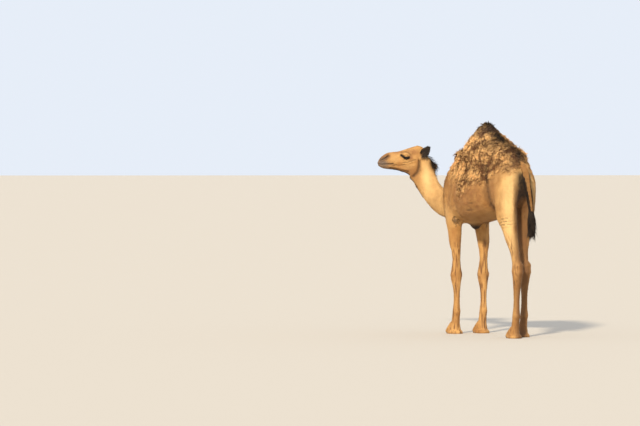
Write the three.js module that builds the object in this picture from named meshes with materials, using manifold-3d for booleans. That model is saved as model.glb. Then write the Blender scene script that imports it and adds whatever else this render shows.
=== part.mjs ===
// A life-size standing dromedary camel that looks to its left, one named solid for each part of the body.
// Millimetres, +Z up, standing on Z = 0. It faces -Y, so its left side is +X. The origin is on the ground
// under the middle of the whole animal's box. The outline reaches out to the tips of the coat.
// The body is made whole, from lofts along its trunk, neck and legs, and is then parted with thin cuts.
import * as THREE from "three";
import { LoftGeometry } from "three/addons/geometries/LoftGeometry.js";
import { mergeVertices } from "three/addons/utils/BufferGeometryUtils.js";
import Module from "manifold-3d";

const wasm = await Module();
wasm.setup();

// ---------------------------------------------------------------- driving dimensions
const HUMP_TOP = 2130; // the crest of the hump above the ground
const BACK_TOP = 1850; // withers, back and croup
const CHEST_DEPTH = 1105; // underside of the chest
const FOOT_CUT = 150; // where a leg ends and its foot begins
const GAP = 0.5; // air between two solids that meet
const LOOKS_LEFT = THREE.MathUtils.degToRad(61); // how far the head is turned from straight ahead
const MOUTH = 1712; // height of the line between the lips
const HEAD_LENGTH = 484; // lips to the back of the skull
const EYE_RADIUS = 22;
const EYE_BACK = 296; // lips to the middle of the eye
const EYE_UP = 68; // above the mouth line
const EYE_SIDE = 75; // eyeball centre from the head's middle plane
const INNER_LEG = 50; // how near the middle plane the shoulders and thighs are parted from the trunk
const CROTCH = 1250; // below this the thighs stand free of each other
const HIND_STEP = { left: -80, right: 105 }; // how far each hind foot is set back or ahead
const FORE_SPREAD = { left: 0, right: 24 }; // how far each fore foot is set outwards

// A point from its distance to the animal's left, ahead of the middle of the body, and up.
const at = (left, ahead, up) => new THREE.Vector3(left, -ahead, up);
const LEFT = at(1, 0, 0);
const AHEAD = at(0, 1, 0);
const UP = at(0, 0, 1);
const DOWN = at(0, 0, -1);
const HEAD_AHEAD = AHEAD.clone().applyAxisAngle(UP, LOOKS_LEFT);
const HEAD_LEFT = LEFT.clone().applyAxisAngle(UP, LOOKS_LEFT);
const NAPE = at(112, 1222, MOUTH); // where the skull sits on the neck
const LIPS = NAPE.clone().addScaledVector(HEAD_AHEAD, HEAD_LENGTH - 35);
const SIDES = { left: 1, right: -1 };

// A point of the head, from its distance behind the lips, above the mouth line, and to the head's left.
const onHead = (back, up, left = 0) =>
  LIPS.clone().addScaledVector(HEAD_AHEAD, -back).addScaledVector(UP, up).addScaledVector(HEAD_LEFT, left);

// ---------------------------------------------------------------- making solids
function solidOf(geometry) {
  const plain = new THREE.BufferGeometry();
  plain.setAttribute("position", geometry.getAttribute("position").clone());
  plain.setIndex(geometry.index);
  const merged = mergeVertices(plain, 1e-3);
  const vertProperties = merged.attributes.position.array;
  const triVerts = new Uint32Array(merged.index.array);
  return new wasm.Manifold(new wasm.Mesh({ numProp: 3, vertProperties, triVerts }));
}

const joined = (solids) => solids.reduce((a, b) => a.add(b));
const cutBy = (solid, cutters) => cutters.reduce((a, b) => a.subtract(b), solid);

// Everything beyond a plane, on the side that the direction points to.
const WORLD = 6000;
function halfSpace(point, direction, grow = 0) {
  const block = new THREE.BoxGeometry(WORLD, WORLD, WORLD).translate(0, 0, WORLD / 2 - grow);
  block.applyQuaternion(new THREE.Quaternion().setFromUnitVectors(UP, direction.clone().normalize()));
  return solidOf(block.translate(point.x, point.y, point.z));
}

// A thick plate whose smooth outline is seen from the animal's side, between two distances to its left.
function plate(outline, leftFrom, leftTo, grow = 0) {
  const points = outline.map(([ahead, up]) => new THREE.Vector2(ahead, up));
  const shape = new THREE.Shape(new THREE.SplineCurve([...points, points[0]]).getPoints(2 * points.length));
  const bevel = { bevelEnabled: grow > 0, bevelSize: grow, bevelThickness: grow, bevelSegments: 1 };
  const geometry = new THREE.ExtrudeGeometry(shape, { depth: leftTo - leftFrom, ...bevel });
  const upright = new THREE.Matrix4().makeBasis(AHEAD, UP, LEFT.clone().negate());
  return solidOf(geometry.applyMatrix4(upright).translate(leftTo, 0, 0));
}

const signedPower = (x, power) => Math.sign(x) * Math.abs(x) ** power;

// A closed skin carried along a smooth line. A station is [centre, half width, reach to the front side,
// reach to the back side]. The half width lies along `sideways`, and the front side is where the line's
// own direction crossed with sideways points: up for a line that runs ahead, ahead for one that runs down.
// `square` is 2 for ellipses and more for boxier rings. The ends are rounded off, and `grow` makes the
// whole skin thicker. `facing` holds all rings square to one direction, and `shape` moves each point further.
function loft(stations, options) {
  const { rings, around, square = 2, sideways = () => LEFT, grow = 0, end = 0.03, facing, shape } = options;
  const middle = new THREE.CatmullRomCurve3(stations.map((s) => s[0]), false, "catmullrom", 0.5);
  const sizes = stations.map(([, wide, front, back]) => new THREE.Vector3(wide, front, back));
  const size = new THREE.CatmullRomCurve3(sizes, false, "catmullrom", 0.5);
  const rounding = [0.3, 1].map((quarters) => ({
    t: end * (1 - Math.cos((quarters * Math.PI) / 2)),
    swell: Math.sin((quarters * Math.PI) / 2),
  }));
  const between = Array.from({ length: rings - 1 }, (_, i) =>
    ({ t: end + ((1 - 2 * end) * (i + 1)) / rings, swell: 1 }));
  const farEnd = rounding.map(({ t, swell }) => ({ t: 1 - t, swell })).reverse();
  const sections = [...rounding, ...between, ...farEnd].map(({ t, swell }) => {
    const centre = middle.getPoint(t);
    const along = facing ?? middle.getTangent(t);
    const side = sideways(t).clone().addScaledVector(along, -along.dot(sideways(t))).normalize();
    const front = along.clone().cross(side);
    const s = size.getPoint(t);
    centre.addScaledVector(along, Math.sign(t - 0.5) * grow * Math.sqrt(1 - swell * swell));
    return Array.from({ length: around }, (_, i) => {
      const angle = (i / around) * 2 * Math.PI;
      const c = signedPower(Math.cos(angle), 2 / square);
      const d = signedPower(Math.sin(angle), 2 / square);
      const x = (s.x + grow) * swell * c;
      const y = ((d > 0 ? s.y : s.z) + grow) * swell * d;
      const point = centre.clone().addScaledVector(side, x).addScaledVector(front, y);
      const outward = side.clone().multiplyScalar(c).addScaledVector(front, d).normalize();
      return shape ? point.add(shape(point, c, outward).multiplyScalar(swell)) : point;
    });
  });
  return solidOf(new LoftGeometry(sections, { capStart: true, capEnd: true }));
}

// ---------------------------------------------------------------- trunk and hump
function trunkSolid(grow = 0) {
  // [ahead, top, underside, half width, height of the widest line]
  const rings = [
    [-715, BACK_TOP - 190, 1420, 60, 1540], // root of the tail
    [-650, BACK_TOP - 72, 1330, 135, 1545],
    [-520, BACK_TOP + 14, 1272, 198, 1530], // croup
    [-340, BACK_TOP + 26, 1225, 232, 1480],
    [-150, BACK_TOP + 5, CHEST_DEPTH + 65, 272, 1430],
    [50, BACK_TOP - 10, CHEST_DEPTH + 18, 290, 1400], // the widest ribs
    [250, BACK_TOP + 8, CHEST_DEPTH, 272, 1390],
    [420, BACK_TOP + 24, CHEST_DEPTH, 238, 1400], // withers
    [560, BACK_TOP - 58, CHEST_DEPTH + 25, 192, 1400],
    [660, 1632, 1180, 145, 1390],
    [735, 1500, 1240, 90, 1370], // breast
  ];
  const stations = rings.map(([ahead, top, underside, half, mid]) =>
    [at(0, ahead, mid), half, top - mid, mid - underside]);
  return loft(stations, { rings: 14, around: 18, square: 2.3, grow, end: 0.02, facing: AHEAD });
}

// The horny cushion under the chest that it rests on.
function chestPadSolid() {
  const pad = new THREE.SphereGeometry(1, 10, 6).scale(48, 105, 70);
  return solidOf(pad.translate(0, -270, CHEST_DEPTH + 10));
}

function humpSolid() {
  // [ahead, height, half width, reach ahead and back], from the crest down
  const rings = [
    [45, HUMP_TOP, 38, 62],
    [42, HUMP_TOP - 30, 74, 116],
    [35, HUMP_TOP - 88, 115, 180],
    [15, HUMP_TOP - 168, 161, 266],
    [-22, HUMP_TOP - 240, 202, 345],
    [-40, HUMP_TOP - 318, 232, 400],
    [-50, HUMP_TOP - 420, 236, 420],
    [-50, HUMP_TOP - 520, 200, 400],
  ];
  const stations = rings.map(([ahead, height, half, reach]) => [at(0, ahead, height), half, reach, reach]);
  return loft(stations, { rings: 10, around: 16, end: 0.03, facing: DOWN });
}

// ---------------------------------------------------------------- legs
function foreLegSolid(side, spread, grow = 0) {
  // [left, ahead, up, half width, reach ahead, reach back], from the shoulder blade down
  const rings = [
    [112, 430, 1730, 62, 80, 80], // top of the shoulder blade
    [140, 480, 1580, 86, 112, 112],
    [152, 502, 1430, 90, 118, 132], // point of the shoulder
    [155, 478, 1285, 90, 124, 132],
    [154, 436, 1160, 84, 138, 96], // elbow
    [150, 420, 1040, 70, 118, 68],
    [145, 416, 900, 55, 64, 50], // forearm
    [140, 418, 750, 43, 43, 41],
    [138, 425, 650, 55, 52, 46],
    [138, 426, 580, 64, 60, 50], // knee
    [138, 420, 490, 46, 46, 45],
    [138, 418, 360, 33, 38, 40], // cannon
    [138, 424, 220, 43, 43, 46], // fetlock
    [138, 438, 120, 44, 46, 46],
    [138, 450, 20, 66, 62, 70],
  ];
  const freed = (up) => THREE.MathUtils.smoothstep(CROTCH - up, 0, 450); // 0 at the shoulder, 1 at the knee
  const stations = rings.map(([left, ahead, up, wide, front, back]) =>
    [at(side * (left + spread * freed(up)), ahead - 0.6 * spread * freed(up), up), wide, front, back]);
  return loft(stations, { rings: 22, around: 9, grow, end: 0.02 });
}

function hindLegSolid(side, step, grow = 0) {
  // [left, ahead, up, half width, reach ahead, reach back, share of the step], from the hip down
  const rings = [
    [98, -500, 1690, 50, 100, 90, 0.2], // hip
    [120, -535, 1600, 92, 190, 140, 0.3],
    [125, -568, 1450, 98, 228, 150, 0.38],
    [127, -560, 1320, 98, 205, 148, 0.44], // thigh
    [122, -560, 1200, 93, 152, 140, 0.54],
    [114, -580, 1090, 81, 110, 108, 0.64], // stifle
    [106, -600, 985, 64, 76, 78, 0.76],
    [99, -626, 860, 49, 56, 62, 0.9], // gaskin
    [96, -647, 760, 46, 50, 60, 1],
    [95, -676, 670, 59, 56, 76, 1], // hock
    [95, -668, 590, 51, 52, 58, 1],
    [95, -656, 470, 38, 42, 44, 1],
    [96, -652, 340, 33, 37, 40, 1], // cannon
    [97, -646, 215, 41, 42, 45, 1], // fetlock
    [97, -632, 115, 42, 43, 43, 1],
    [97, -617, 20, 60, 57, 64, 1],
  ];
  const stations = rings.map(([left, ahead, up, wide, front, back, share]) =>
    [at(side * left, ahead + step * share, up), wide, front, back]);
  return loft(stations, { rings: 24, around: 9, grow, end: 0.02 });
}

// ---------------------------------------------------------------- feet
const TOE_SPREAD = 37; // each toe's middle from the foot's middle
const foreFoot = (side, spread) => ({ left: side * (138 + spread), ahead: 442 - 0.6 * spread, size: 1 });
const hindFoot = (side, step) => ({ left: side * 97, ahead: -624 + step, size: 0.92 });

// A nail lies on the upper front of its toe.
function nailSolid(foot, toe, grow = 0) {
  const nail = new THREE.SphereGeometry(1, 6, 4);
  nail.scale(13 * foot.size + grow, 19 * foot.size + grow, 11 * foot.size + grow);
  nail.rotateX(THREE.MathUtils.degToRad(28));
  const place = at(foot.left + toe * TOE_SPREAD * foot.size, foot.ahead + 100 * foot.size, 30 * foot.size);
  return solidOf(nail.translate(place.x, place.y, place.z));
}

// Two broad toes over one flat cushion round the end of the leg, not yet cut level with the ground.
function footSolid(foot) {
  const scaled = (rings) => rings.map(([left, ahead, up, ...sizes]) =>
    [at(foot.left + left * foot.size, foot.ahead + ahead * foot.size, up * foot.size),
      ...sizes.map((size) => size * foot.size)]);
  const toe = (way) => [
    [way * 20, 0, 115, 32, 36, 40],
    [way * 34, 52, 60, 34, 32, 36],
    [way * TOE_SPREAD, 90, 28, 31, 27, 28],
    [way * TOE_SPREAD, 116, 18, 20, 16, 16],
  ];
  const pad = new THREE.SphereGeometry(1, 12, 4).scale(82 * foot.size, 98 * foot.size, 44);
  const middle = at(foot.left, foot.ahead + 12 * foot.size, 14);
  return joined([
    loft(scaled(toe(-1)), { rings: 3, around: 6, end: 0.08 }),
    loft(scaled(toe(1)), { rings: 3, around: 6, end: 0.08 }),
    solidOf(pad.translate(middle.x, middle.y, middle.z)),
  ]);
}

// ---------------------------------------------------------------- neck
const smooth = (x) => THREE.MathUtils.smoothstep(x, 0, 1);

function neckSolid(grow = 0) {
  // [left, ahead, up, half width, reach up, reach down], from inside the breast to the nape
  const rings = [
    [0, 480, 1400, 150, 200, 200],
    [0, 640, 1350, 132, 185, 170],
    [4, 780, 1318, 112, 150, 168],
    [14, 910, 1330, 98, 132, 172],
    [34, 1030, 1388, 86, 118, 156],
    [56, 1122, 1475, 77, 106, 142],
    [76, 1178, 1575, 72, 106, 150],
    [94, 1200, 1680, 70, 100, 154],
    [106, 1196, 1795, 60, 84, 84],
  ];
  const stations = rings.map(([left, ahead, up, wide, top, under]) => [at(left, ahead, up), wide, top, under]);
  const sideways = (t) => LEFT.clone().lerp(HEAD_LEFT, smooth((t - 0.35) / 0.5)).normalize();
  return loft(stations, { rings: 14, around: 13, sideways, end: 0.02, grow });
}

// The upright tuft of hair that runs from the crown down the nape.
function maneSolid(grow = 0) {
  // [behind the lips, above the mouth, half width, reach towards the neck, reach backwards]
  const rings = [
    [466, 170, 20, 20, 8],
    [500, 95, 28, 40, 14],
    [525, 40, 30, 40, 34],
    [548, -32, 30, 40, 92],
    [562, -64, 24, 30, 60],
    [578, -100, 16, 20, 16],
  ];
  const stations = rings.map(([back, up, ...sizes]) => [onHead(back, up), ...sizes]);
  return loft(stations, { rings: 7, around: 8, sideways: () => HEAD_LEFT, end: 0.05, grow });
}

// ---------------------------------------------------------------- head
// A soft bump or dent in millimetres round one place of the head.
function bump(point, back, up, height, reachBack, reachUp = reachBack) {
  const from = point.clone().sub(LIPS);
  const x = (-from.dot(HEAD_AHEAD) - back) / reachBack;
  const z = (from.dot(UP) - up) / reachUp;
  return height * Math.exp(-(x * x) - z * z);
}

function headRelief(point, c, outward) {
  const flank = Math.abs(c) ** 2; // 1 on the sides of the head, 0 on its top and underside
  const sides =
    bump(point, EYE_BACK + 4, EYE_UP + 36, 13, 40, 18) + // brow
    bump(point, EYE_BACK - 4, EYE_UP - 30, 6, 46, 14) + // cheekbone
    bump(point, EYE_BACK, EYE_UP, -7, 30, 20) + // eye socket
    bump(point, EYE_BACK - 62, EYE_UP - 12, -7, 34, 26) + // hollow before the eye
    bump(point, 384, -18, 9, 48, 60) + // chewing muscle
    bump(point, 86, 62, 7, 34, 20) + // side of the nostril
    bump(point, 80, 26, 4, 60, 16) + // upper lip
    bump(point, 70, -26, 3, 50, 16); // lower lip
  const mouth = bump(point, 78, 0, -4, 84, 7);
  return outward.multiplyScalar(flank * sides + mouth);
}

function headSolid(grow = 0) {
  // [behind the lips, top, underside, half width, height of the widest line], heights from the mouth
  const rings = [
    [489, 150, 20, 44, 90],
    [459, 186, -60, 62, 88],
    [419, 191, -138, 76, 84],
    [379, 184, -158, 86, 76],
    [339, 173, -154, 92, 72],
    [299, 158, -135, 86, 68],
    [259, 143, -110, 68, 56],
    [219, 135, -87, 55, 42],
    [179, 130, -66, 50, 32],
    [139, 122, -56, 49, 26],
    [99, 111, -51, 52, 22],
    [64, 92, -46, 49, 16],
    [36, 65, -41, 41, 8],
    [14, 34, -35, 32, -2],
    [0, 6, -26, 20, -10],
  ];
  const stations = rings.map(([back, top, underside, half, mid]) =>
    [onHead(back, mid), half, top - mid, mid - underside]);
  const sideways = () => HEAD_LEFT;
  return loft(stations, { rings: 23, around: 17, square: 2.15, sideways, end: 0.02, grow, shape: headRelief });
}

// A cupped leaf with its hollow to the side and a little ahead.
function earSolid(side) {
  const root = onHead(436, 52, side * 62);
  const rise = onHead(501, 168, side * 98).sub(root);
  const hollow = HEAD_LEFT.clone().multiplyScalar(side).addScaledVector(HEAD_AHEAD, 0.45).normalize();
  const across = hollow.clone().cross(rise).normalize();
  // [share of the ear's length, half width, half thickness, how far the edges curl to the hollow's side]
  const rings = [
    [-0.12, 17, 15, 0],
    [0.15, 28, 12, 11],
    [0.4, 39, 7, 22],
    [0.65, 36, 6, 19],
    [0.85, 22, 5, 10],
    [1, 8, 4, 2],
  ];
  const stations = rings.map(([share, wide, thick]) =>
    [root.clone().addScaledVector(rise, share), wide, thick, thick]);
  const curls = new THREE.CatmullRomCurve3(rings.map((ring) => new THREE.Vector3(ring[3], 0, 0)));
  const shape = (point, c) => {
    const share = point.clone().sub(root).dot(rise) / rise.lengthSq();
    const t = THREE.MathUtils.clamp((share - rings[0][0]) / (1 - rings[0][0]), 0, 1);
    return hollow.clone().multiplyScalar(c * c * curls.getPoint(t).x);
  };
  return loft(stations, { rings: 5, around: 8, sideways: () => across, end: 0.06, shape });
}

function eyeSolid(side, grow = 0) {
  const place = onHead(EYE_BACK, EYE_UP, side * EYE_SIDE);
  const ball = new THREE.SphereGeometry(EYE_RADIUS + grow, 8, 6);
  return solidOf(ball.translate(place.x, place.y, place.z));
}

// ---------------------------------------------------------------- tail
function tailSolid() {
  // [left, ahead, up, half width, reach ahead, reach back], from the croup to the end of the tuft
  const rings = [
    [0, -640, 1700, 44, 40, 40],
    [-4, -712, 1625, 40, 36, 36],
    [-12, -756, 1510, 34, 28, 28],
    [-24, -777, 1380, 32, 26, 26],
    [-34, -786, 1260, 36, 28, 28],
    [-38, -790, 1150, 44, 36, 36], // the tuft
    [-38, -790, 1050, 42, 36, 36],
    [-36, -788, 950, 20, 18, 18],
  ];
  const stations = rings.map(([left, ahead, up, wide, front, back]) => [at(left, ahead, up), wide, front, back]);
  return loft(stations, { rings: 12, around: 8, end: 0.03 });
}

// ---------------------------------------------------------------- where the body is parted
const WIDE = 500; // beyond the animal's side

function legRegion(side, outline, inner, grow) {
  const [from, to] = side > 0 ? [inner, WIDE] : [-WIDE, -inner];
  return plate(outline, from, to, grow);
}

function foreRegion(side, grow = 0) {
  const outline = [
    [560, -60], [560, 900], [590, 1120], [645, 1280], [655, 1430], [610, 1610], [520, 1760], [420, 1815],
    [340, 1740], [325, 1550], [310, 1350], [295, 1180], [290, 900], [290, -60],
  ];
  return legRegion(side, outline, INNER_LEG, grow);
}

function hindRegion(side, grow = 0) {
  const thigh = [
    [-420, 1090], [-330, 1200], [-275, 1330], [-262, 1480], [-315, 1650], [-430, 1785], [-560, 1810],
    [-700, 1725], [-820, 1560], [-880, 1300], [-880, 1090],
  ];
  const lower = halfSpace(at(0, 0, CROTCH), DOWN, grow);
  const legSide = halfSpace(at(side * 5, -300, 0), at(side, -0.001, 0), grow);
  const behind = halfSpace(at(0, -300, 0), at(0, -1, 0), grow);
  const freeLeg = lower.intersect(legSide).intersect(behind);
  return joined([legRegion(side, thigh, INNER_LEG, grow), freeLeg]);
}

function humpRegion(grow = 0) {
  const outline = [
    [560, 2300], [470, 1960], [330, 1815], [150, 1740], [-50, 1715], [-250, 1750], [-420, 1840],
    [-560, 2000], [-640, 2300],
  ];
  return plate(outline, -WIDE, WIDE, grow);
}

const neckRegion = (grow = 0) => halfSpace(at(0, 668, 1400), at(0, 1, 0.15), grow);
const headCut = HEAD_AHEAD.clone().multiplyScalar(0.964).addScaledVector(UP, 0.27);
const headRegion = (grow = 0) => halfSpace(onHead(442, 30), headCut, grow);

// ---------------------------------------------------------------- the whole animal
const COAT = new THREE.MeshStandardMaterial({ color: 0xb98a52, roughness: 0.9, metalness: 0 });
const WOOL = new THREE.MeshStandardMaterial({ color: 0x7a5636, roughness: 0.95, metalness: 0 });
const DARK_HAIR = new THREE.MeshStandardMaterial({ color: 0x2b2019, roughness: 0.9, metalness: 0 });
const EYE = new THREE.MeshStandardMaterial({ color: 0x1a0f08, roughness: 0.1, metalness: 0 });
const HORN = new THREE.MeshStandardMaterial({ color: 0x4a3c2e, roughness: 0.5, metalness: 0 });

const camel = new THREE.Group();

function addPart(name, solid, material) {
  const { vertProperties, triVerts, numProp } = solid.getMesh();
  const geometry = new THREE.BufferGeometry();
  const positions = new THREE.InterleavedBuffer(vertProperties, numProp);
  geometry.setAttribute("position", new THREE.InterleavedBufferAttribute(positions, 3, 0));
  geometry.setIndex(new THREE.BufferAttribute(triVerts, 1));
  const mesh = new THREE.Mesh(geometry.toNonIndexed(), material);
  mesh.geometry.computeVertexNormals();
  mesh.name = name;
  camel.add(mesh);
}

const ends = Object.entries(SIDES).flatMap(([name, side]) => [
  {
    name, side, end: "fore", foot: foreFoot(side, FORE_SPREAD[name]),
    leg: (grow) => foreLegSolid(side, FORE_SPREAD[name], grow), region: (grow) => foreRegion(side, grow),
  },
  {
    name, side, end: "hind", foot: hindFoot(side, HIND_STEP[name]),
    leg: (grow) => hindLegSolid(side, HIND_STEP[name], grow), region: (grow) => hindRegion(side, grow),
  },
]);

const whole = joined([
  trunkSolid(), chestPadSolid(), humpSolid(), neckSolid(), maneSolid(), headSolid(),
  ...ends.flatMap(({ leg, foot }) => [leg(0), footSolid(foot)]),
]);
let rest = whole.intersect(halfSpace(at(0, 0, 0), UP));

// Takes one region's share off what is left of the body, with air all round it.
function partOff(region) {
  const piece = rest.intersect(region(0));
  rest = rest.subtract(region(GAP));
  return piece;
}

for (const { name, side, end, foot, region } of ends) {
  const leg = partOff(region);
  const nails = { outer: side, inner: -side };
  const roomForNails = Object.values(nails).map((toe) => nailSolid(foot, toe, GAP));
  const footPiece = leg.intersect(halfSpace(at(0, 0, FOOT_CUT - GAP), DOWN));
  addPart(`${end}_leg_${name}`, leg.intersect(halfSpace(at(0, 0, FOOT_CUT), UP)), COAT);
  addPart(`${end}_foot_${name}`, cutBy(footPiece, roomForNails), COAT);
  for (const [place, toe] of Object.entries(nails)) {
    addPart(`${end}_nail_${name}_${place}`, nailSolid(foot, toe), HORN);
  }
}
addPart("hump", partOff(humpRegion), WOOL);

const aroundEars = [headSolid(GAP), neckSolid(GAP), maneSolid(GAP)];
const roomForEyes = Object.values(SIDES).map((side) => eyeSolid(side, GAP));
addPart("head", cutBy(partOff(headRegion), roomForEyes), COAT);
addPart("neck", partOff(neckRegion), COAT);
addPart("trunk", rest, COAT);
for (const [name, side] of Object.entries(SIDES)) {
  addPart(`eye_${name}`, eyeSolid(side), EYE);
  addPart(`ear_${name}`, cutBy(earSolid(side), aroundEars), DARK_HAIR);
}
const roomForTail = [trunkSolid(GAP), ...ends.map(({ leg }) => leg(GAP))];
addPart("tail", cutBy(tailSolid(), roomForTail), DARK_HAIR);

const box = new THREE.Box3().setFromObject(camel, true);
const middle = box.getCenter(new THREE.Vector3());
camel.position.set(-middle.x, -middle.y, -box.min.z);

export default camel;
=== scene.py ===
# %% [markdown]
# # A dromedary camel, life size
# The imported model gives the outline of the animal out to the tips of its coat. Here it gets what a living
# camel has inside that outline: one skin without seams, eyes under heavy lids, toenails, a tail, and a coat
# of solid tufts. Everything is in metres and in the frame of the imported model.

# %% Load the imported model
import math

import bmesh
import bpy
import numpy as np
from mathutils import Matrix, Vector


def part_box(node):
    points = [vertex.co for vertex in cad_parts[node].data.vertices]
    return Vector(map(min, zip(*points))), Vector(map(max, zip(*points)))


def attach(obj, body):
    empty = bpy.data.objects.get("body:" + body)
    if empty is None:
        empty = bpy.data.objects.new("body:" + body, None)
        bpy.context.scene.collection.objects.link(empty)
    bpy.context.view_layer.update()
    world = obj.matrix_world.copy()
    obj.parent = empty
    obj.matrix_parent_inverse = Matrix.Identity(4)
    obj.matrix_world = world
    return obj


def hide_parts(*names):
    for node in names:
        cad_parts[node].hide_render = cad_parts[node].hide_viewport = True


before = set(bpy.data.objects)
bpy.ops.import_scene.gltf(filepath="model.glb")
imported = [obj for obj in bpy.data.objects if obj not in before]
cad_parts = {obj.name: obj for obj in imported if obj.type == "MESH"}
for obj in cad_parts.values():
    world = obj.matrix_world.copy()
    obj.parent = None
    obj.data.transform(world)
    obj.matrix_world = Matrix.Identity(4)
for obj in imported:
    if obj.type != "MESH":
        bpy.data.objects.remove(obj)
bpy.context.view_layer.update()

UP = np.array([0.0, 0.0, 1.0])
print("nodes", len(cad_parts))

# %% [markdown]
# ## Where things are on the animal
# A place is easiest to name from the animal's own body: so far to its left, so far ahead of the middle of
# its trunk, so far up. The trunk is the same on both sides, so its box gives the middle plane, and the toes
# of the left forefoot are a known way ahead. The head is turned to the left and has its own measures:
# behind the lips, above the line of the mouth, and to the head's left.

# %% The body's and the head's own measures
TOES_AHEAD = 0.5595
MIDDLE_X = (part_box("trunk")[0].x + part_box("trunk")[1].x) / 2
MIDDLE_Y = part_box("fore_foot_left")[0].y + TOES_AHEAD
HEAD_TURN = math.radians(61)
HEAD_AHEAD = np.array([math.sin(HEAD_TURN), -math.cos(HEAD_TURN), 0.0])
HEAD_LEFT = np.array([math.cos(HEAD_TURN), math.sin(HEAD_TURN), 0.0])
LIPS_LEFT, LIPS_AHEAD, MOUTH_UP = 0.5047, 1.4397, 1.712


def place(left, ahead, up):
    """The point of the frame that lies so far to the animal's left, ahead of its middle, and up."""
    x = MIDDLE_X + np.asarray(left, float)
    y = MIDDLE_Y - np.asarray(ahead, float)
    return np.stack(np.broadcast_arrays(x, y, np.asarray(up, float)), -1)


LIPS = place(LIPS_LEFT, LIPS_AHEAD, MOUTH_UP)


def on_head(back, up, left=0.0):
    """The point of the frame that lies so far behind the lips, above the mouth, and to the head's left."""
    back, up, left = (np.asarray(x, float)[..., None] for x in (back, up, left))
    return LIPS - back * HEAD_AHEAD + up * UP + left * HEAD_LEFT


def body_measures(points):
    """Left, ahead and up of each point."""
    return points[:, 0] - MIDDLE_X, MIDDLE_Y - points[:, 1], points[:, 2]


def head_measures(points):
    """Behind the lips, above the mouth, and to the head's left, of each point."""
    away = points - LIPS
    return -away @ HEAD_AHEAD, away @ UP, away @ HEAD_LEFT


print("middle plane x", round(MIDDLE_X, 4), "middle of trunk y", round(MIDDLE_Y, 4), "lips", LIPS.round(3))

# %% [markdown]
# ## Small tools for shapes and patterns
# Soft steps, bells and random fields are worked out for all points at once. The same functions shape the
# skin, mark its colours and set the length and lie of the coat, so that skin and coat carry the same
# markings.

# %% Steps, bells, ridges and random fields
def step(x, low, high):
    """0 below low, 1 above high, and 3t^2 - 2t^3 between them."""
    t = np.clip((x - low) / (high - low), 0, 1)
    return t * t * (3 - 2 * t)


def bell(*pairs):
    """exp of minus the sum of squares: 1 at a place and falling away by each (distance, reach) pair."""
    return np.exp(-sum((d / r) ** 2 for d, r in pairs))


def bell_at(points, where, reach):
    """1 at a place and falling away in all directions."""
    return np.exp(-(np.linalg.norm(points - where, axis=1) / reach) ** 2)


def bells(across, high, rows):
    """A bell for each row of its size, its place and reach across, and its place and reach in height."""
    return [size * bell((across - x, wide), (high - y, tall)) for size, x, wide, y, tall in rows]


def most(*fields):
    """The largest of several fields at each point."""
    return np.maximum.reduce(fields)


def nearest_piece(points, path):
    """How far each point is from a line through several points, which of its straight pieces is the nearest
    one, and the share of that piece that lies before the nearest place."""
    best = np.full(len(points), np.inf)
    number = np.zeros(len(points), int)
    share = np.zeros(len(points))
    for k, (a, b) in enumerate(zip(path[:-1], path[1:])):
        along = b - a
        t = np.clip((points - a) @ along / (along @ along), 0, 1)
        distance = np.linalg.norm(points - a - t[:, None] * along, axis=1)
        nearer = distance < best
        best[nearer], number[nearer], share[nearer] = distance[nearer], k, t[nearer]
    return best, number, share


def ridge(points, path, width):
    """1 on a line and falling away to both sides as a bell of that width."""
    return np.exp(-(nearest_piece(points, path)[0] / width) ** 2)


def scramble(ix, iy, iz, seed):
    """A fixed random number from 0 to 1 for each whole point: its numbers are mixed by large odd factors."""
    h = (ix * 73856093) ^ (iy * 19349663) ^ (iz * 83492791) ^ (seed * 40503)
    h = ((h ^ (h >> 13)) * 1274126177) & 0x7FFFFFFF
    h = ((h ^ (h >> 15)) * 668265263) & 0x7FFFFFFF
    return (h & 0xFFFFF) / 0xFFFFF


def noise(points, size, seed=0):
    """Smooth random field from 0 to 1: random values at the corners of cubes of that size, blended inside."""
    q = points / size
    cell = np.floor(q).astype(np.int64)
    t = q - cell
    t = t * t * (3 - 2 * t)
    value = np.zeros(len(points))
    for corner in np.ndindex(2, 2, 2):
        share = np.prod(np.where(corner, t, 1 - t), axis=1)
        value += share * scramble(*(cell + corner).T, seed)
    return value


def clump_of(points, size, seed=0):
    """The nearest of scattered centres, one in each cube of that size: its place and its random number."""
    cell = np.floor(points / size).astype(np.int64)
    best = np.full(len(points), np.inf)
    centre = np.zeros_like(points)
    number = np.zeros(len(points))
    for offset in np.ndindex(3, 3, 3):
        here = cell + offset - 1
        jitter = np.stack([scramble(*here.T, seed + k) for k in range(3)], -1)
        spot = (here + 0.15 + 0.7 * jitter) * size
        distance = np.linalg.norm(points - spot, axis=1)
        nearer = distance < best
        best = np.where(nearer, distance, best)
        centre[nearer] = spot[nearer]
        number[nearer] = scramble(*here.T, seed + 7)[nearer]
    return centre, number


def unit(vectors):
    """The same directions with length 1."""
    return vectors / np.maximum(np.linalg.norm(vectors, axis=-1, keepdims=True), 1e-9)


def square_to(vectors, normals):
    """The part of each vector that lies in the surface, with length 1."""
    return unit(vectors - np.sum(vectors * normals, -1, keepdims=True) * normals)


# %% Put arrays into a mesh object, and read one back
def make_object(name, points, faces, smooth=True):
    """A mesh object at the origin from an array of points and a list or array of faces."""
    mesh = bpy.data.meshes.new(name)
    faces = np.asarray(faces)
    mesh.vertices.add(len(points))
    mesh.vertices.foreach_set("co", np.asarray(points, np.float32).ravel())
    mesh.loops.add(faces.size)
    mesh.loops.foreach_set("vertex_index", faces.astype(np.int32).ravel())
    mesh.polygons.add(len(faces))
    mesh.polygons.foreach_set("loop_start", np.arange(0, faces.size, faces.shape[1], dtype=np.int32))
    mesh.update(calc_edges=True)
    mesh.validate()
    mesh.polygons.foreach_set("use_smooth", np.full(len(mesh.polygons), smooth))
    piece = bpy.data.objects.new(name, mesh)
    bpy.context.scene.collection.objects.link(piece)
    return piece


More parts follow.
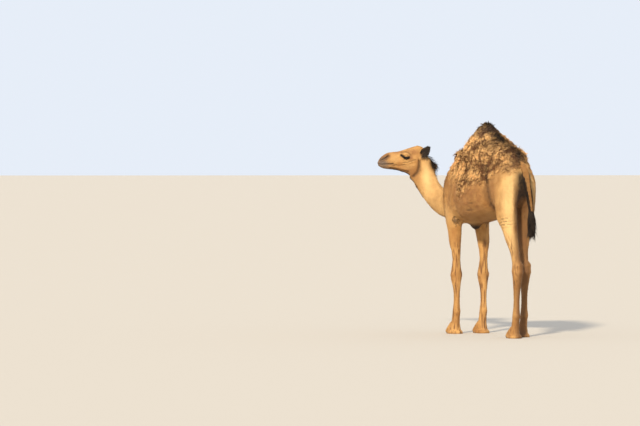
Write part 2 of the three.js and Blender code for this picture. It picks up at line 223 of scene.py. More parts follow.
def points_of(mesh):
    """All the points of a mesh as one array."""
    flat = np.empty(len(mesh.vertices) * 3, np.float32)
    mesh.vertices.foreach_get("co", flat)
    return flat.reshape(-1, 3).astype(float)


def set_points(mesh, points):
    """Moves all the points of a mesh."""
    mesh.vertices.foreach_set("co", np.asarray(points, np.float32).ravel())
    mesh.update()


def edges_of(mesh):
    """Both ends of each edge."""
    flat = np.empty(len(mesh.edges) * 2, np.int32)
    mesh.edges.foreach_get("vertices", flat)
    return flat.reshape(-1, 2)


def normals_of(mesh):
    """The outward direction at each point."""
    flat = np.empty(len(mesh.vertices) * 3, np.float32)
    mesh.vertex_normals.foreach_get("vector", flat)
    return flat.reshape(-1, 3).astype(float)


def set_value(mesh, name, values):
    """Stores a number for each point, or one number for all, under a name that the materials read."""
    attribute = mesh.attributes.get(name) or mesh.attributes.new(name, "FLOAT", "POINT")
    attribute.data.foreach_set("value", np.broadcast_to(values, len(mesh.vertices)).astype(np.float32))


def relaxed(points, edges, weight, rounds):
    """Each round moves a point by half its weight towards the mean of its neighbours."""
    a, b = edges.T
    n = len(points)
    count = np.bincount(a, minlength=n) + np.bincount(b, minlength=n)
    for _ in range(rounds):
        total = [np.bincount(a, points[b, k], n) + np.bincount(b, points[a, k], n) for k in range(3)]
        points = points + 0.5 * weight[:, None] * (np.stack(total, -1) / count[:, None] - points)
    return points


# %% [markdown]
# ## One skin without seams
# The solids of the body are cut apart for other uses, but a living camel has one hide. The hide could be
# modelled again by hand, but then its proportions would have to be found twice. Here the solids are filled
# with small cubes and skinned over, which closes the thin cuts, and their flat facets are relaxed away:
# strongly on the big trunk, hardly at all on the slender legs. The head is skinned with finer cubes, and
# the two skins are sewn together round the upper neck.

# %% Skin over the solids
BODY_VOXEL = 0.0065
HEAD_VOXEL = 0.0027
LIMB_STARTS = ("fore_leg", "hind_leg", "fore_foot", "hind_foot")
BODY_NODES = [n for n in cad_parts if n.startswith(("trunk", "hump", "neck") + LIMB_STARTS)]
HEAD_NODES = ["neck", "head", "ear_left", "ear_right", "eye_left", "eye_right"]
SEAM_AT = place(0.078, 1.180, 1.575)
SEAM_ALONG = unit(np.array([0.17, -0.35, 0.92]))
SEAM_BAND = 0.010
NECK_STARTS = 0.80
SAME_POINT = 1e-5


def skinned(name, nodes, voxel):
    """One closed skin round several solids, made of squares of the voxel's size."""
    bm = bmesh.new()
    for node in nodes:
        bm.from_mesh(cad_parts[node].data)
    bmesh.ops.remove_doubles(bm, verts=bm.verts, dist=SAME_POINT)
    rough = bpy.data.objects.new(name, bpy.data.meshes.new(name))
    bm.to_mesh(rough.data)
    bm.free()
    bpy.context.scene.collection.objects.link(rough)
    cubes = rough.modifiers.new("cubes", "REMESH")
    cubes.mode = "VOXEL"
    cubes.voxel_size = voxel
    graph = bpy.context.evaluated_depsgraph_get()
    mesh = bpy.data.meshes.new_from_object(rough.evaluated_get(graph))
    bpy.data.objects.remove(rough)
    return mesh


body_mesh = skinned("rough_body", [*BODY_NODES, "head"], BODY_VOXEL)
head_mesh = skinned("rough_head", HEAD_NODES, HEAD_VOXEL)
print("body faces", len(body_mesh.polygons), "head faces", len(head_mesh.polygons))


# %% Relax the facets away
BODY_ROUNDS, HEAD_ROUNDS = 150, 200
LEG_WEIGHT, FOOT_WEIGHT, EAR_WEIGHT = 0.045, 0.012, 0.06
FEET_BELOW, SOLE_BELOW = 0.16, 0.006


def relax_body(mesh):
    """Broad forms are relaxed over about 40 mm, the upper neck over 20 mm, legs over 7 mm, feet over 4 mm."""
    points = points_of(mesh)
    _, ahead, up = body_measures(points)
    trunk = np.where(ahead > 0.75, 1, step(up, 0.98, 1.32))
    crest = 1 - 0.65 * step(up, 1.88, 2.05)
    neck = 1 - 0.75 * step(ahead, 0.85, 1.15)
    weight = (LEG_WEIGHT + (1 - LEG_WEIGHT) * trunk) * crest * neck
    weight = np.where(up < FEET_BELOW, FOOT_WEIGHT, weight)
    flat = relaxed(points, edges_of(mesh), weight, BODY_ROUNDS)
    flat[:, 2] = np.where(up < SOLE_BELOW, 0.0, flat[:, 2])
    set_points(mesh, flat)


def relax_head(mesh):
    """The neck is relaxed over about 20 mm, the head over 7 mm, and the ears and lips over 4 mm."""
    points = points_of(mesh)
    back, up, left = head_measures(points)
    neck = step(back, 0.46, 0.52) + step(-up, 0.13, 0.2)
    ear = step(back, 0.43, 0.45) * step(up, 0.05, 0.08) * step(np.abs(left), 0.062, 0.078)
    lips = step(-back, -0.07, -0.03)
    weight = np.clip(0.14 + 0.86 * neck - 0.09 * ear - 0.06 * lips, 0.05, 1)
    throat = bell((back - 0.385, 0.045), (up + 0.150, 0.045))
    weight = np.where(ear > 0.5, EAR_WEIGHT, np.clip(weight + throat, 0, 1))
    set_points(mesh, relaxed(points, edges_of(mesh), weight, HEAD_ROUNDS))


relax_body(body_mesh)
relax_head(head_mesh)


# %% Sew the head's skin to the body's
def cut_away(mesh, point, direction, belongs):
    """Cuts the neck of a mesh square to a direction and removes what lies beyond. Returns an edit mesh."""
    bm = bmesh.new()
    bm.from_mesh(mesh)
    point, direction = Vector(point), Vector(direction)
    near = [v for v in bm.verts if belongs(v.co)]
    chosen = set(near)
    faces = [f for f in bm.faces if all(v in chosen for v in f.verts)]
    edges = list({e for f in faces for e in f.edges})
    bmesh.ops.bisect_plane(bm, geom=near + edges + faces, plane_co=point, plane_no=direction, dist=SAME_POINT)
    beyond = [v for v in bm.verts if belongs(v.co) and (v.co - point).dot(direction) > 10 * SAME_POINT]
    bmesh.ops.delete(bm, geom=beyond, context="VERTS")
    return bm


def sewn_skin():
    """Both skins are cut square to the neck a little apart, and the gap is bridged from edge to edge."""
    def ahead_of(co):
        return MIDDLE_Y - co.y > NECK_STARTS
    lower = cut_away(body_mesh, SEAM_AT, SEAM_ALONG, ahead_of)
    upper = cut_away(head_mesh, SEAM_AT + SEAM_BAND * SEAM_ALONG, -SEAM_ALONG, lambda _: True)
    mesh = bpy.data.meshes.new("skin")
    upper.to_mesh(mesh)
    lower.from_mesh(mesh)
    upper.free()
    rims = [e for e in lower.edges if e.is_boundary]
    print("rim edges", len(rims))
    bmesh.ops.bridge_loops(lower, edges=rims)
    bmesh.ops.triangulate(lower, faces=[f for f in lower.faces if len(f.verts) > 4])
    bmesh.ops.recalc_face_normals(lower, faces=lower.faces)
    lower.to_mesh(mesh)
    lower.free()
    return mesh


skin_mesh = sewn_skin()
print("skin faces", len(skin_mesh.polygons))


# %% Thin out the broad forms, where fine faces aren't needed
SKIN_FACES = 190000
GRAIN, GRAIN_SEED = 0.0004, 3
LEVELS = np.linspace(0, 1, 11)


def thinned(mesh, faces):
    """Joins faces until so many triangles are left, first on the trunk and neck and last on head and feet.

    Smooth parts would lose nearly all their faces, and the forms and markings need them. A grain under half a
    millimetre high keeps the faces there of one size.
    """
    rough = bpy.data.objects.new("rough_skin", mesh)
    bpy.context.scene.collection.objects.link(rough)
    points = points_of(mesh)
    _, _, up = body_measures(points)
    back, above, _ = head_measures(points)
    head = (back < 0.48) & (above > -0.2)
    broad = 0.65 + 0.35 * step(up, 1.05, 1.3)
    broad = np.where(head, 0.25 * step(back, 0.25, 0.45), np.where(up < 0.17, 0.45, broad))
    grain = GRAIN * ~head * np.random.default_rng(GRAIN_SEED).normal(0, 1, len(points))
    set_points(mesh, points + grain[:, None] * normals_of(mesh))
    group = rough.vertex_groups.new(name="broad")
    for level in LEVELS:
        members = np.flatnonzero(np.abs(broad - level) <= LEVELS[1] / 2)
        group.add(members.tolist(), float(level), "REPLACE")
    thin = rough.modifiers.new("thin", "DECIMATE")
    thin.ratio = faces / (2 * len(mesh.polygons))
    thin.vertex_group = group.name
    thin.vertex_group_factor = 2.0
    graph = bpy.context.evaluated_depsgraph_get()
    result = bpy.data.meshes.new_from_object(rough.evaluated_get(graph))
    bpy.data.objects.remove(rough)
    return result


skin_mesh = thinned(skin_mesh, SKIN_FACES)
print("thinned skin", len(skin_mesh.polygons), "faces")

# %% [markdown]
# ## The form under the coat
# The outline reaches to the tips of the coat, so the skin is drawn in by the coat's depth: a hand's breadth
# of wool on the hump, a few millimetres on the face and legs. Then it gets the forms that a lean camel
# shows: shoulder blade, elbow, ribs, flank, the muscles and sinews of the legs, and the folds where the
# skin is loose. These are soft bells and ridges added to the skin along its own outward direction.

# %% Lines that the markings and folds follow
NOSTRIL = np.array([(0.028, 0.040), (0.055, 0.050), (0.082, 0.066), (0.104, 0.083)])
MOUTH_LINE = np.array([(0.0, 0.0), (0.04, -0.006), (0.09, -0.001), (0.135, 0.001), (0.158, 0.006)])
JAW_LINE = np.array([(0.125, -0.042), (0.19, -0.052), (0.25, -0.066), (0.31, -0.078)])
CHEEK_FOLD = np.array([(0.175, -0.010), (0.22, -0.016), (0.275, -0.008)])
CHEEK_BONE = np.array([(0.20, 0.022), (0.26, 0.018), (0.34, 0.014)])
EYE_FOLD = np.array([(0.262, 0.016), (0.30, 0.016), (0.34, 0.030), (0.385, 0.042)])
LOWER_LID = np.array([(0.258, 0.046), (0.285, 0.036), (0.312, 0.040), (0.330, 0.052)])
THROAT_LINE = np.array([(0.428, 0.035), (0.424, -0.03), (0.405, -0.085), (0.365, -0.125)])
BROW_LINE = np.array([(0.238, 0.118), (0.275, 0.128), (0.315, 0.118), (0.340, 0.090)])
EYE_DARK = np.array([(0.240, 0.090), (0.260, 0.078), (0.280, 0.062), (0.300, 0.056), (0.320, 0.068)])
EAR_LINE = np.array([(0.428, 0.075), (0.462, 0.122)])
UNDER_JAW = [(0.10, -0.050), (0.15, -0.054), (0.21, -0.067), (0.27, -0.085), (0.30, -0.100),
             (0.33, -0.143), (0.355, -0.185)]
BEARD = [on_head(back, up) for back, up in UNDER_JAW]
BEARD += [place(0.170, 1.280, 1.53), place(0.160, 1.245, 1.48), place(0.110, 1.215, 1.42),
          place(0.060, 1.160, 1.35), place(0.030, 1.08, 1.26)]
EYE_BACK, EYE_UP, EYE_RADIUS = 0.296, 0.068, 0.022


def profile_ridge(points, line, width):
    """1 on a line given by behind and above on the head, as seen in profile."""
    back, above, _ = head_measures(points)
    return ridge(np.stack([back, above], -1), line, width)


def head_ridge(points, line, width, reach=0.03):
    """1 on a line of the head's both cheeks, fading in the middle plane of the head."""
    back, _, side = head_measures(points)
    return profile_ridge(points, line, width) * step(np.abs(side), reach * 0.4, reach) * (back < 0.5)


def ridge_at_mouth(points, width):
    """1 on the line between the lips, right round the front of the muzzle."""
    back, _, _ = head_measures(points)
    return profile_ridge(points, MOUTH_LINE, width) * (back < 0.2)


def head_mask(points):
    """1 on the head, 0 behind the throat."""
    back, above, _ = head_measures(points)
    return (1 - step(back, 0.40, 0.45)) * step(above, -0.20, -0.15)


def ear_mask(points):
    """1 on both ears."""
    back, above, side = head_measures(points)
    ears = step(back, 0.425, 0.44) * step(above, 0.05, 0.075) * step(np.abs(side), 0.066, 0.080)
    return ears * (back < 0.56)


def ear_hollow(points):
    """1 in the middle of each ear."""
    return profile_ridge(points, EAR_LINE, 0.017) * ear_mask(points)


# %% Where the wool grows, and how deep the coat is
def on_both_sides(function, points):
    """The larger of a function's values at each point and at its mirror image in the body's middle plane."""
    mirrored = points.copy()
    mirrored[:, 0] = 2 * MIDDLE_X - mirrored[:, 0]
    return np.maximum(function(points), function(mirrored))


def wool_amount(points):
    """1 on the hump, back, shoulders and upper flanks, 0 on the short coat below a ragged edge."""
    _, ahead, up = body_measures(points)
    ragged = 0.16 * (noise(points, 0.16, 3) - 0.5) + 0.08 * (noise(points, 0.06, 4) - 0.5)
    edge = 1.60 + 0.10 * step(-ahead, 0.28, 0.62) - 0.16 * bell((ahead - 0.08, 0.20))
    trunk = step(up + ragged, edge - 0.09, edge + 0.09)
    front = 1 - step(ahead + 0.5 * ragged, 0.60, 0.70)
    tail_end = 1 - step(-ahead, 0.66, 0.73)
    return trunk * front * tail_end


def coat_depth(points):
    """How far the skin lies under the tips of the coat, in metres."""
    _, _, up = body_measures(points)
    back, above, side = head_measures(points)
    wool = wool_amount(points)
    crest = step(up, 1.78, 2.0)
    head = step(-back, -0.46, -0.40) * step(above, -0.22, -0.16)
    ear = step(back, 0.43, 0.45) * step(above, 0.05, 0.08) * step(np.abs(side), 0.07, 0.085)
    mane = bell((side, 0.05), (back - 0.55, 0.06), (above, 0.14))
    legs = 1 - step(up, 0.6, 1.2)
    depth = 0.006 + 0.024 * wool + 0.013 * wool * crest - 0.0035 * legs
    depth = np.where(back < 0.5, depth * (1 - head) + head * 0.0025, depth)
    depth = depth * (1 - ear) + ear * 0.001
    tops = 0.012 * step(up, 1.88, 1.98) + 0.012 * step(up, 2.00, 2.08)
    return np.maximum(depth + 0.012 * mane + tops, 0.001)


# %% Forms of the trunk
# Folds of the loose skin: the line on the left side, the depth and the width
FOLDS = [
    ([place(0.25, -0.34, 1.66), place(0.25, -0.385, 1.52), place(0.24, -0.40, 1.36),
      place(0.20, -0.36, 1.22)], 0.010, 0.020),
    ([place(0.17, 0.33, 1.235), place(0.19, 0.385, 1.215), place(0.19, 0.43, 1.165)], 0.007, 0.010),
    ([place(0.17, 0.27, 1.20), place(0.19, 0.32, 1.245), place(0.19, 0.41, 1.255)], 0.006, 0.010),
    ([place(0.16, 0.26, 1.10), place(0.18, 0.31, 1.085), place(0.17, 0.38, 1.09)], 0.006, 0.009),
    ([place(0.20, 0.20, 1.28), place(0.24, 0.02, 1.255), place(0.22, -0.20, 1.26)], 0.005, 0.008),
    ([place(0.22, 0.10, 1.335), place(0.26, -0.06, 1.325), place(0.25, -0.24, 1.35)], 0.004, 0.008),
]

# Size, place and reach ahead, place and reach in height, and where it starts and is whole to the side
BODY_FORMS = [
    (0.014, 0.37, 0.07, 1.30, 0.13, 0.08, 0.14),       # the upper arm
    (-0.010, 0.265, 0.035, 1.30, 0.20, 0.08, 0.14),    # the groove behind it
    (-0.022, -0.335, 0.075, 1.42, 0.14, 0.10, 0.15),   # the hollow of the flank
    (0.016, -0.42, 0.045, 1.72, 0.04, 0.08, 0.12),     # the point of the hip
    (-0.010, -0.34, 0.035, 1.20, 0.10, 0.06, 0.10),    # the groove before the stifle
    (0.012, -0.48, 0.06, 1.42, 0.20, 0.10, 0.15),      # the front of the thigh
]
FLANK_CREASE = np.array([(-0.27, 1.70), (-0.325, 1.56), (-0.345, 1.43), (-0.335, 1.30), (-0.30, 1.19)])
RIB_SPACING, WRINKLE_SPACING = 0.085, 0.030


def side_line(points, line, width):
    """1 on a line on both sides of the body, given by how far ahead and how high, as seen in profile."""
    left, ahead, up = body_measures(points)
    return ridge(np.stack([ahead, up], -1), line, width) * step(np.abs(left), 0.06, 0.12)


def gaskin_area(points):
    """1 where the thigh bends into the lower leg."""
    left, ahead, up = body_measures(points)
    return bell((ahead + 0.64, 0.10), (up - 1.14, 0.065)) * step(np.abs(left), 0.05, 0.1)


def gaskin_wrinkles(points):
    """From -1 to 1: level folds in that area."""
    _, ahead, up = body_measures(points)
    wave = (up + 0.12 * ahead) * 2 * math.pi / WRINKLE_SPACING + 3 * noise(points, 0.09, 12)
    return gaskin_area(points) * np.sin(wave)


def callus_reach(points):
    """The distance from the bare pad behind each elbow, 1 at its rim."""
    left, ahead, up = body_measures(points)
    away = np.stack([(np.abs(left) - 0.178) / 0.035, (ahead - 0.358) / 0.020, (up - 1.150) / 0.031], -1)
    return np.linalg.norm(away, axis=1)


def callus(points):
    """1 on the pad behind each elbow."""
    return 1 - step(callus_reach(points), 0.7, 1.0)


def callus_rim(points):
    """1 on the crease round the pad."""
    return np.exp(-((callus_reach(points) - 1.2) / 0.22) ** 2)


def body_relief(points):
    """Height in metres that shoulder, ribs, flank, hip and folds add to the skin."""
    left, ahead, up = body_measures(points)
    side = np.abs(left)
    blade_at = 0.50 - 0.16 * (up - 1.25)
    blade = bell((ahead - blade_at, 0.035)) * step(up, 1.25, 1.35) * step(-up, -1.72, -1.60)
    height = 0.010 * blade * step(side, 0.08, 0.12)
    for *row, starts, whole in BODY_FORMS:
        height += bells(ahead, up, [row])[0] * step(side, starts, whole)
    ribs = np.sin((ahead + 0.30 * (up - 1.3)) * 2 * math.pi / RIB_SPACING)
    height += 0.0022 * ribs * bell((ahead - 0.02, 0.26), (up - 1.38, 0.14))
    for line, depth, width in FOLDS:
        height -= depth * on_both_sides(lambda p: ridge(p, line, width), points)
    return height + 0.0040 * gaskin_wrinkles(points) + 0.007 * callus(points) - 0.006 * callus_rim(points)


# %% Forms of the legs
# Each leg's side, how far it leans outwards below, and how far ahead its foot stands
LEG_AXES = {
    "fore_left": (1, 0.0, 0.0), "fore_right": (-1, 0.024, 0.0),
    "hind_left": (1, 0.0, -0.08), "hind_right": (-1, 0.0, 0.105),
}
# The share of its stride that a hind leg has at some heights, given from the hip down, and how far out its
# axis lies at others
HIND_STRIDE = ([-1.6, -1.32, -1.09, -0.86, -0.76], [0.3, 0.44, 0.64, 0.9, 1.0])
HIND_OUT = ([0.02, 0.76, 0.985, 1.2, 1.45], [0.097, 0.096, 0.106, 0.122, 0.125])
FORE_OUT, FORE_AHEAD = 0.141, 0.42


def fore_forms(x, y, up):
    """Forearm, elbow, knee, sinews and fetlock of a foreleg, x being out from its axis and y ahead of it."""
    h = 0.010 * bell((x - 0.05, 0.03), (y, 0.05), (up - 0.93, 0.12))
    h += 0.008 * bell((y - 0.03, 0.03), (up - 0.95, 0.14))
    h += 0.007 * bell((x, 0.03), (y - 0.05, 0.03), (up - 0.585, 0.045))
    h += 0.006 * bell((np.abs(x) - 0.05, 0.02), (y + 0.01, 0.025), (up - 0.60, 0.035))
    h -= 0.006 * bell((y + 0.006, 0.009), (up - 0.38, 0.13))
    h += 0.008 * bell((y + 0.045, 0.025), (up - 0.22, 0.035))
    h += 0.010 * bell((x - 0.06, 0.03), (y - 0.01, 0.035), (up - 1.155, 0.045))
    slant = x - 0.035 + 0.10 * (up - 0.9)
    h -= 0.006 * bell((slant, 0.008), (up - 0.90, 0.14)) * step(y, -0.06, -0.01)
    h -= 0.005 * bell((np.abs(x) - 0.012, 0.007), (up - 0.74, 0.09))
    return h - 0.005 * bell((y - 0.020, 0.008), (up - 0.36, 0.15))


def hind_forms(x, y, up):
    """Gaskin, hock, sinews, fetlock and stifle of a hind leg, x being out from its axis, and y how far ahead
    a place would lie without the leg's stride."""
    h = 0.010 * bell((x - 0.05, 0.04), (y + 0.58, 0.05), (up - 0.98, 0.10))
    h += 0.009 * bell((y + 0.73, 0.03), (up - 0.72, 0.03))
    h -= 0.007 * bell((y + 0.685, 0.014), (up - 0.79, 0.09))
    h += 0.006 * bell((y + 0.64, 0.03), (up - 0.66, 0.04))
    h -= 0.006 * bell((y + 0.66, 0.010), (up - 0.42, 0.15))
    h += 0.008 * bell((y + 0.69, 0.025), (up - 0.215, 0.035))
    h += 0.012 * bell((x - 0.06, 0.05), (y + 0.47, 0.05), (up - 1.17, 0.07))
    h -= 0.008 * bell((y + 0.665, 0.030), (up - 1.30, 0.16)) * step(x, 0.0, 0.05)
    h -= 0.006 * bell((y + 0.60 - 0.5 * (up - 0.95), 0.010), (up - 0.93, 0.13))
    slant = y + 0.635 - 0.4 * (up - 0.95)
    h -= 0.005 * bell((slant, 0.009), (up - 0.90, 0.15)) * step(x, -0.02, 0.02)
    return h - 0.005 * bell((y + 0.63, 0.008), (up - 0.40, 0.15))


def leg_relief(points):
    """Height that muscles, joints and sinews add to the legs."""
    left, ahead, up = body_measures(points)
    height = np.zeros(len(points))
    for name, (way, spread, stride) in LEG_AXES.items():
        out = left * way
        if name.startswith("fore"):
            free = spread * step(1.25 - up, 0, 0.45)
            near = (out > 0.02) & (ahead > 0.1) & (up < 1.35)
            forms = fore_forms(out - (FORE_OUT + free), ahead - (FORE_AHEAD - 0.6 * free), up)
        else:
            near = (out > 0.0) & (ahead < -0.1) & (up < 1.5)
            y = ahead - stride * np.interp(-up, *HIND_STRIDE)
            forms = hind_forms(out - np.interp(up, *HIND_OUT), y, up)
        height += np.where(near, forms, 0)
    return height


# %% Forms of the head
EYE_SHAPE = np.array([(-0.027, 0.007), (-0.018, -0.004), (-0.006, -0.011), (0.006, -0.012), (0.017, -0.006),
                      (0.025, 0.005), (0.016, 0.006), (0.005, 0.005), (-0.007, 0.004), (-0.018, 0.005)])


def inside_eye(points, grow=0.0):
    """The distance in metres from the outline of the eye's opening in profile, below 0 inside it."""
    back, above, _ = head_measures(points)
    flat = np.stack([back - EYE_BACK, above - EYE_UP], -1)
    a, b = EYE_SHAPE, np.roll(EYE_SHAPE, -1, axis=0)
    along = b - a
    share = np.clip(((flat[:, None] - a) * along).sum(-1) / (along ** 2).sum(-1), 0, 1)
    distance = np.linalg.norm(flat[:, None] - a - share[..., None] * along, axis=-1).min(1)
    crosses = (a[:, 1] > flat[:, 1, None]) != (b[:, 1] > flat[:, 1, None])
    rise = np.where(np.abs(along[:, 1]) < 1e-9, 1e-9, along[:, 1])
    at = a[:, 0] + (flat[:, 1, None] - a[:, 1]) / rise * along[:, 0]
    within = (np.sum(crosses & (flat[:, 0, None] < at), axis=1) % 2) == 1
    return np.where(within, -distance, distance) - grow


BALL_OUT = 0.0715
EAR_GROWTH, EAR_MIDDLE = (0.50, 0.20), (0.440, 0.095)
SOCKET_DEPTH, BALL_CLEARANCE, SOLE_CLEARANCE = 0.019, 0.0022, 0.003


def ball_side(x, y):
    """How far out the eyeball lies at places of the profile measured from its centre."""
    return BALL_OUT + np.sqrt(np.maximum(EYE_RADIUS ** 2 - x ** 2 - y ** 2, 0.004 ** 2))


# Size, place and reach behind the lips, place and reach above the mouth
HEAD_FORMS = [
    (0.0105, 0.300, 0.028, 0.099, 0.0145),    # the brow
    (0.006, 0.262, 0.016, 0.104, 0.012),      # its front end
    (0.0090, 0.055, 0.045, -0.040, 0.020),    # the lower lip
    (0.0100, 0.28, 0.10, -0.125, 0.035),      # under the jaw
    (0.0060, 0.355, 0.035, -0.150, 0.030),    # the corner of jaw and throat
    (0.0060, 0.110, 0.050, 0.108, 0.020),     # the bridge of the nose
    (0.0050, 0.405, 0.020, 0.185, 0.020),     # the poll
]
CHEEK_FORMS = [
    (-0.007, 0.368, 0.022, 0.088, 0.022),     # the hollow behind the brow
    (-0.006, 0.215, 0.030, 0.055, 0.022),     # the hollow before the eye
    (0.008, 0.315, 0.050, -0.030, 0.036),     # the muscle of the cheek
]

# Size, line, width, and how far from the middle of the head the form is whole
FACE_RIDGES = [
    (-0.0055, BROW_LINE, 0.0065, 0.03), (0.004, BROW_LINE[:3] + (0, 0.016), 0.010, 0.03),
    (0.0055, LOWER_LID, 0.0085, 0.03),
    (-0.0045, EYE_FOLD, 0.0070, 0.03), (0.004, EYE_FOLD - (0, 0.014), 0.0085, 0.03),
    (0.006, CHEEK_BONE, 0.014, 0.03), (-0.004, CHEEK_FOLD, 0.006, 0.03),
    (-0.0055, JAW_LINE, 0.0085, 0.03), (0.005, JAW_LINE + (0, 0.017), 0.011, 0.03),
    (-0.008, THROAT_LINE, 0.011, 0.03),
    (-0.0065, NOSTRIL, 0.0048, 0.012), (0.0045, NOSTRIL + (-0.004, 0.011), 0.0070, 0.012),
    (0.0040, NOSTRIL[:3] + (0.004, -0.012), 0.0075, 0.012),
]
MUZZLE_WRINKLE, CHEEK_WRINKLE = 0.012, 0.011


def head_relief(points):
    """Height that bones, lids, lips, nostrils and folds add to the head."""
    back, above, side = head_measures(points)
    cheek = step(np.abs(side), 0.012, 0.03)
    h = sum(bells(back, above, HEAD_FORMS)) + sum(bells(back, above, CHEEK_FORMS)) * cheek
    for size, line, width, reach in FACE_RIDGES:
        h += size * head_ridge(points, line, width, reach)
    h -= 0.0060 * ridge_at_mouth(points, 0.0042)
    h += 0.0040 * ridge_at_mouth(points - 0.011 * UP, 0.0085) * step(-back, -0.14, -0.09)
    h += 0.0030 * ridge_at_mouth(points + 0.012 * UP, 0.0085) * step(-back, -0.13, -0.08)
    split = step(-back, -0.035, -0.02) * step(above, 0.0, 0.01) * step(-above, -0.05, -0.035)
    h -= 0.0050 * bell((side, 0.0038)) * split
    wave = (above + 0.35 * back) * 2 * math.pi / MUZZLE_WRINKLE + 5 * noise(points, 0.03, 5)
    h += 0.0008 * np.sin(wave) * bell((back - 0.09, 0.05), (above - 0.03, 0.035)) * cheek
    wave = (back + 0.4 * above) * 2 * math.pi / CHEEK_WRINKLE + 5 * noise(points, 0.03, 6)
    h += 0.0009 * np.sin(wave) * bell((back - 0.175, 0.03), (above + 0.005, 0.03)) * cheek
    h -= 0.0050 * ear_hollow(points)
    return h * step(-back, -0.50, -0.46)


# %% Draw the skin in and give it its forms
def inward(mesh):
    """Moves each point of the skin inwards by the coat's depth and outwards by the body's forms."""
    points = points_of(mesh)
    normals = normals_of(mesh)
    back, above, side = head_measures(points)
    outer = np.sum(normals * np.sign(side)[:, None] * HEAD_LEFT, -1)
    amount = body_relief(points) + leg_relief(points) - coat_depth(points)
    amount += head_relief(points) * np.where(ear_mask(points) * (outer < 0), 0, 1)
    on_ground = points[:, 2] < SOLE_CLEARANCE
    moved = points + np.where(on_ground, 0.0, amount)[:, None] * normals
    near_eye = (np.abs(side) > 0.05) * (np.abs(back - EYE_BACK) < 0.05)
    socket = step(-inside_eye(points), -0.0015, 0.0025) * near_eye
    moved -= SOCKET_DEPTH * (socket * np.sign(side))[:, None] * HEAD_LEFT
    ears = np.stack([back - EAR_MIDDLE[0], above - EAR_MIDDLE[1]], -1) * EAR_GROWTH
    ears *= ear_mask(points)[:, None]
    moved += ears[:, :1] * -HEAD_AHEAD + ears[:, 1:] * UP
    x, y = back - EYE_BACK, above - EYE_UP
    over_ball = (1 - socket) * (np.hypot(x, y) < EYE_RADIUS) * (np.abs(side) > 0.05) * (back < 0.4)
    _, _, moved_side = head_measures(moved)
    short = np.maximum(ball_side(x, y) + BALL_CLEARANCE - np.abs(moved_side), 0) * over_ball
    moved += (short * np.sign(side))[:, None] * HEAD_LEFT
    moved[:, 2] = np.where(on_ground, 0.0, np.maximum(moved[:, 2], 0.0))
    set_points(mesh, moved)


inward(skin_mesh)
skin = bpy.data.objects.new("skin", skin_mesh)
bpy.context.scene.collection.objects.link(skin)
skin_mesh.polygons.foreach_set("use_smooth", np.ones(len(skin_mesh.polygons), bool))
print("skin done")

# %% [markdown]
# ## Markings
# Where the hair is dark, pale or missing is worked out by formulas, once for the skin and once for the root
# of each tuft; some of the dark is painted shade in folds, creases and between the legs, and some of the pale
# is painted light on the back of the hind legs. Painting an image would also do, but it would need an unwrap
# and would not follow a change of the shape.

# %% Streaks and shaded places of the legs
def leg_streaks(points):
    """From 0 to 1: broad and fine streaks down the legs, by two noises drawn out in height."""
    _, ahead, up = body_measures(points)
    drawn = points * np.array([1, 1, 0.13])
    broad = step(noise(drawn, 0.024, 21), 0.30, 0.85)
    fine = step(noise(drawn, 0.009, 22), 0.35, 0.90)
    return (0.35 * broad + 0.65 * fine) * step(1.12 - up, 0, 0.2) * (ahead < 0.6)


def shade_between_thighs(points):
    """Painted shade: 1 on the inner side of both hind legs, where they shade each other, fading towards their
    middle and under the tail.
    """
    left, ahead, up = body_measures(points)
    return step(-np.abs(left), -0.155, -0.085) * (ahead < -0.3) * step(-up, -1.62, -1.42)


# %% Dark places, and painted shade in folds and creases
# Line, share, width, and how far from the middle of the head the mark is whole
# Painted shade along the grooves of the face: in and round the nostril slits, and in the folds of jaw, eye,
# throat, brow and cheek.
SHADED_FACE_LINES = [
    (NOSTRIL, 0.97, 0.0080, 0.02), (NOSTRIL, 0.62, 0.019, 0.02), (JAW_LINE, 0.48, 0.009, 0.03),
    (EYE_FOLD, 0.40, 0.007, 0.03), (THROAT_LINE, 0.66, 0.017, 0.03), (BROW_LINE, 0.38, 0.007, 0.03),
    (CHEEK_FOLD, 0.32, 0.006, 0.03),
]


def dark_on_head(points):
    """1 on ears, mane and throat, and round the eyes, where dark skin and lashes are joined by painted shade
    under brow and lid; painted shade in the nostrils, between the lips and in the folds of the face.
    """
    _, ahead, up = body_measures(points)
    back, above, side = head_measures(points)
    mane = bell((side, 0.036), (back - 0.545, 0.055), (above - 0.02, 0.110))
    throat = np.clip(1.3 * ridge(points, BEARD, 0.019), 0, 0.92) * (ahead > 0.5) * step(up, 1.27, 1.42)
    lid = step(-inside_eye(points), -0.0085, -0.002)
    # The crescent round the eye is partly dark skin and lashes, partly painted shade under the brow and lid.
    crescent = 1.5 * head_ridge(points, EYE_DARK, 0.0125)
    near_eye = (np.abs(back - EYE_BACK) < 0.09) * (np.abs(above - EYE_UP) < 0.06) * (np.abs(side) > 0.04)
    lines = [share * head_ridge(points, line, width, reach) for line, share, width, reach in SHADED_FACE_LINES]
    return most(0.95 * ear_mask(points), 0.95 * np.clip(1.6 * mane, 0, 1), throat,
                0.97 * np.clip(most(lid, crescent), 0, 1) * near_eye,
                # Painted shade in the crease between the lips.
                0.9 * ridge_at_mouth(points, 0.0065),
                0.45 * bell((back - 0.165, 0.030), (above + 0.012, 0.016)), *lines)


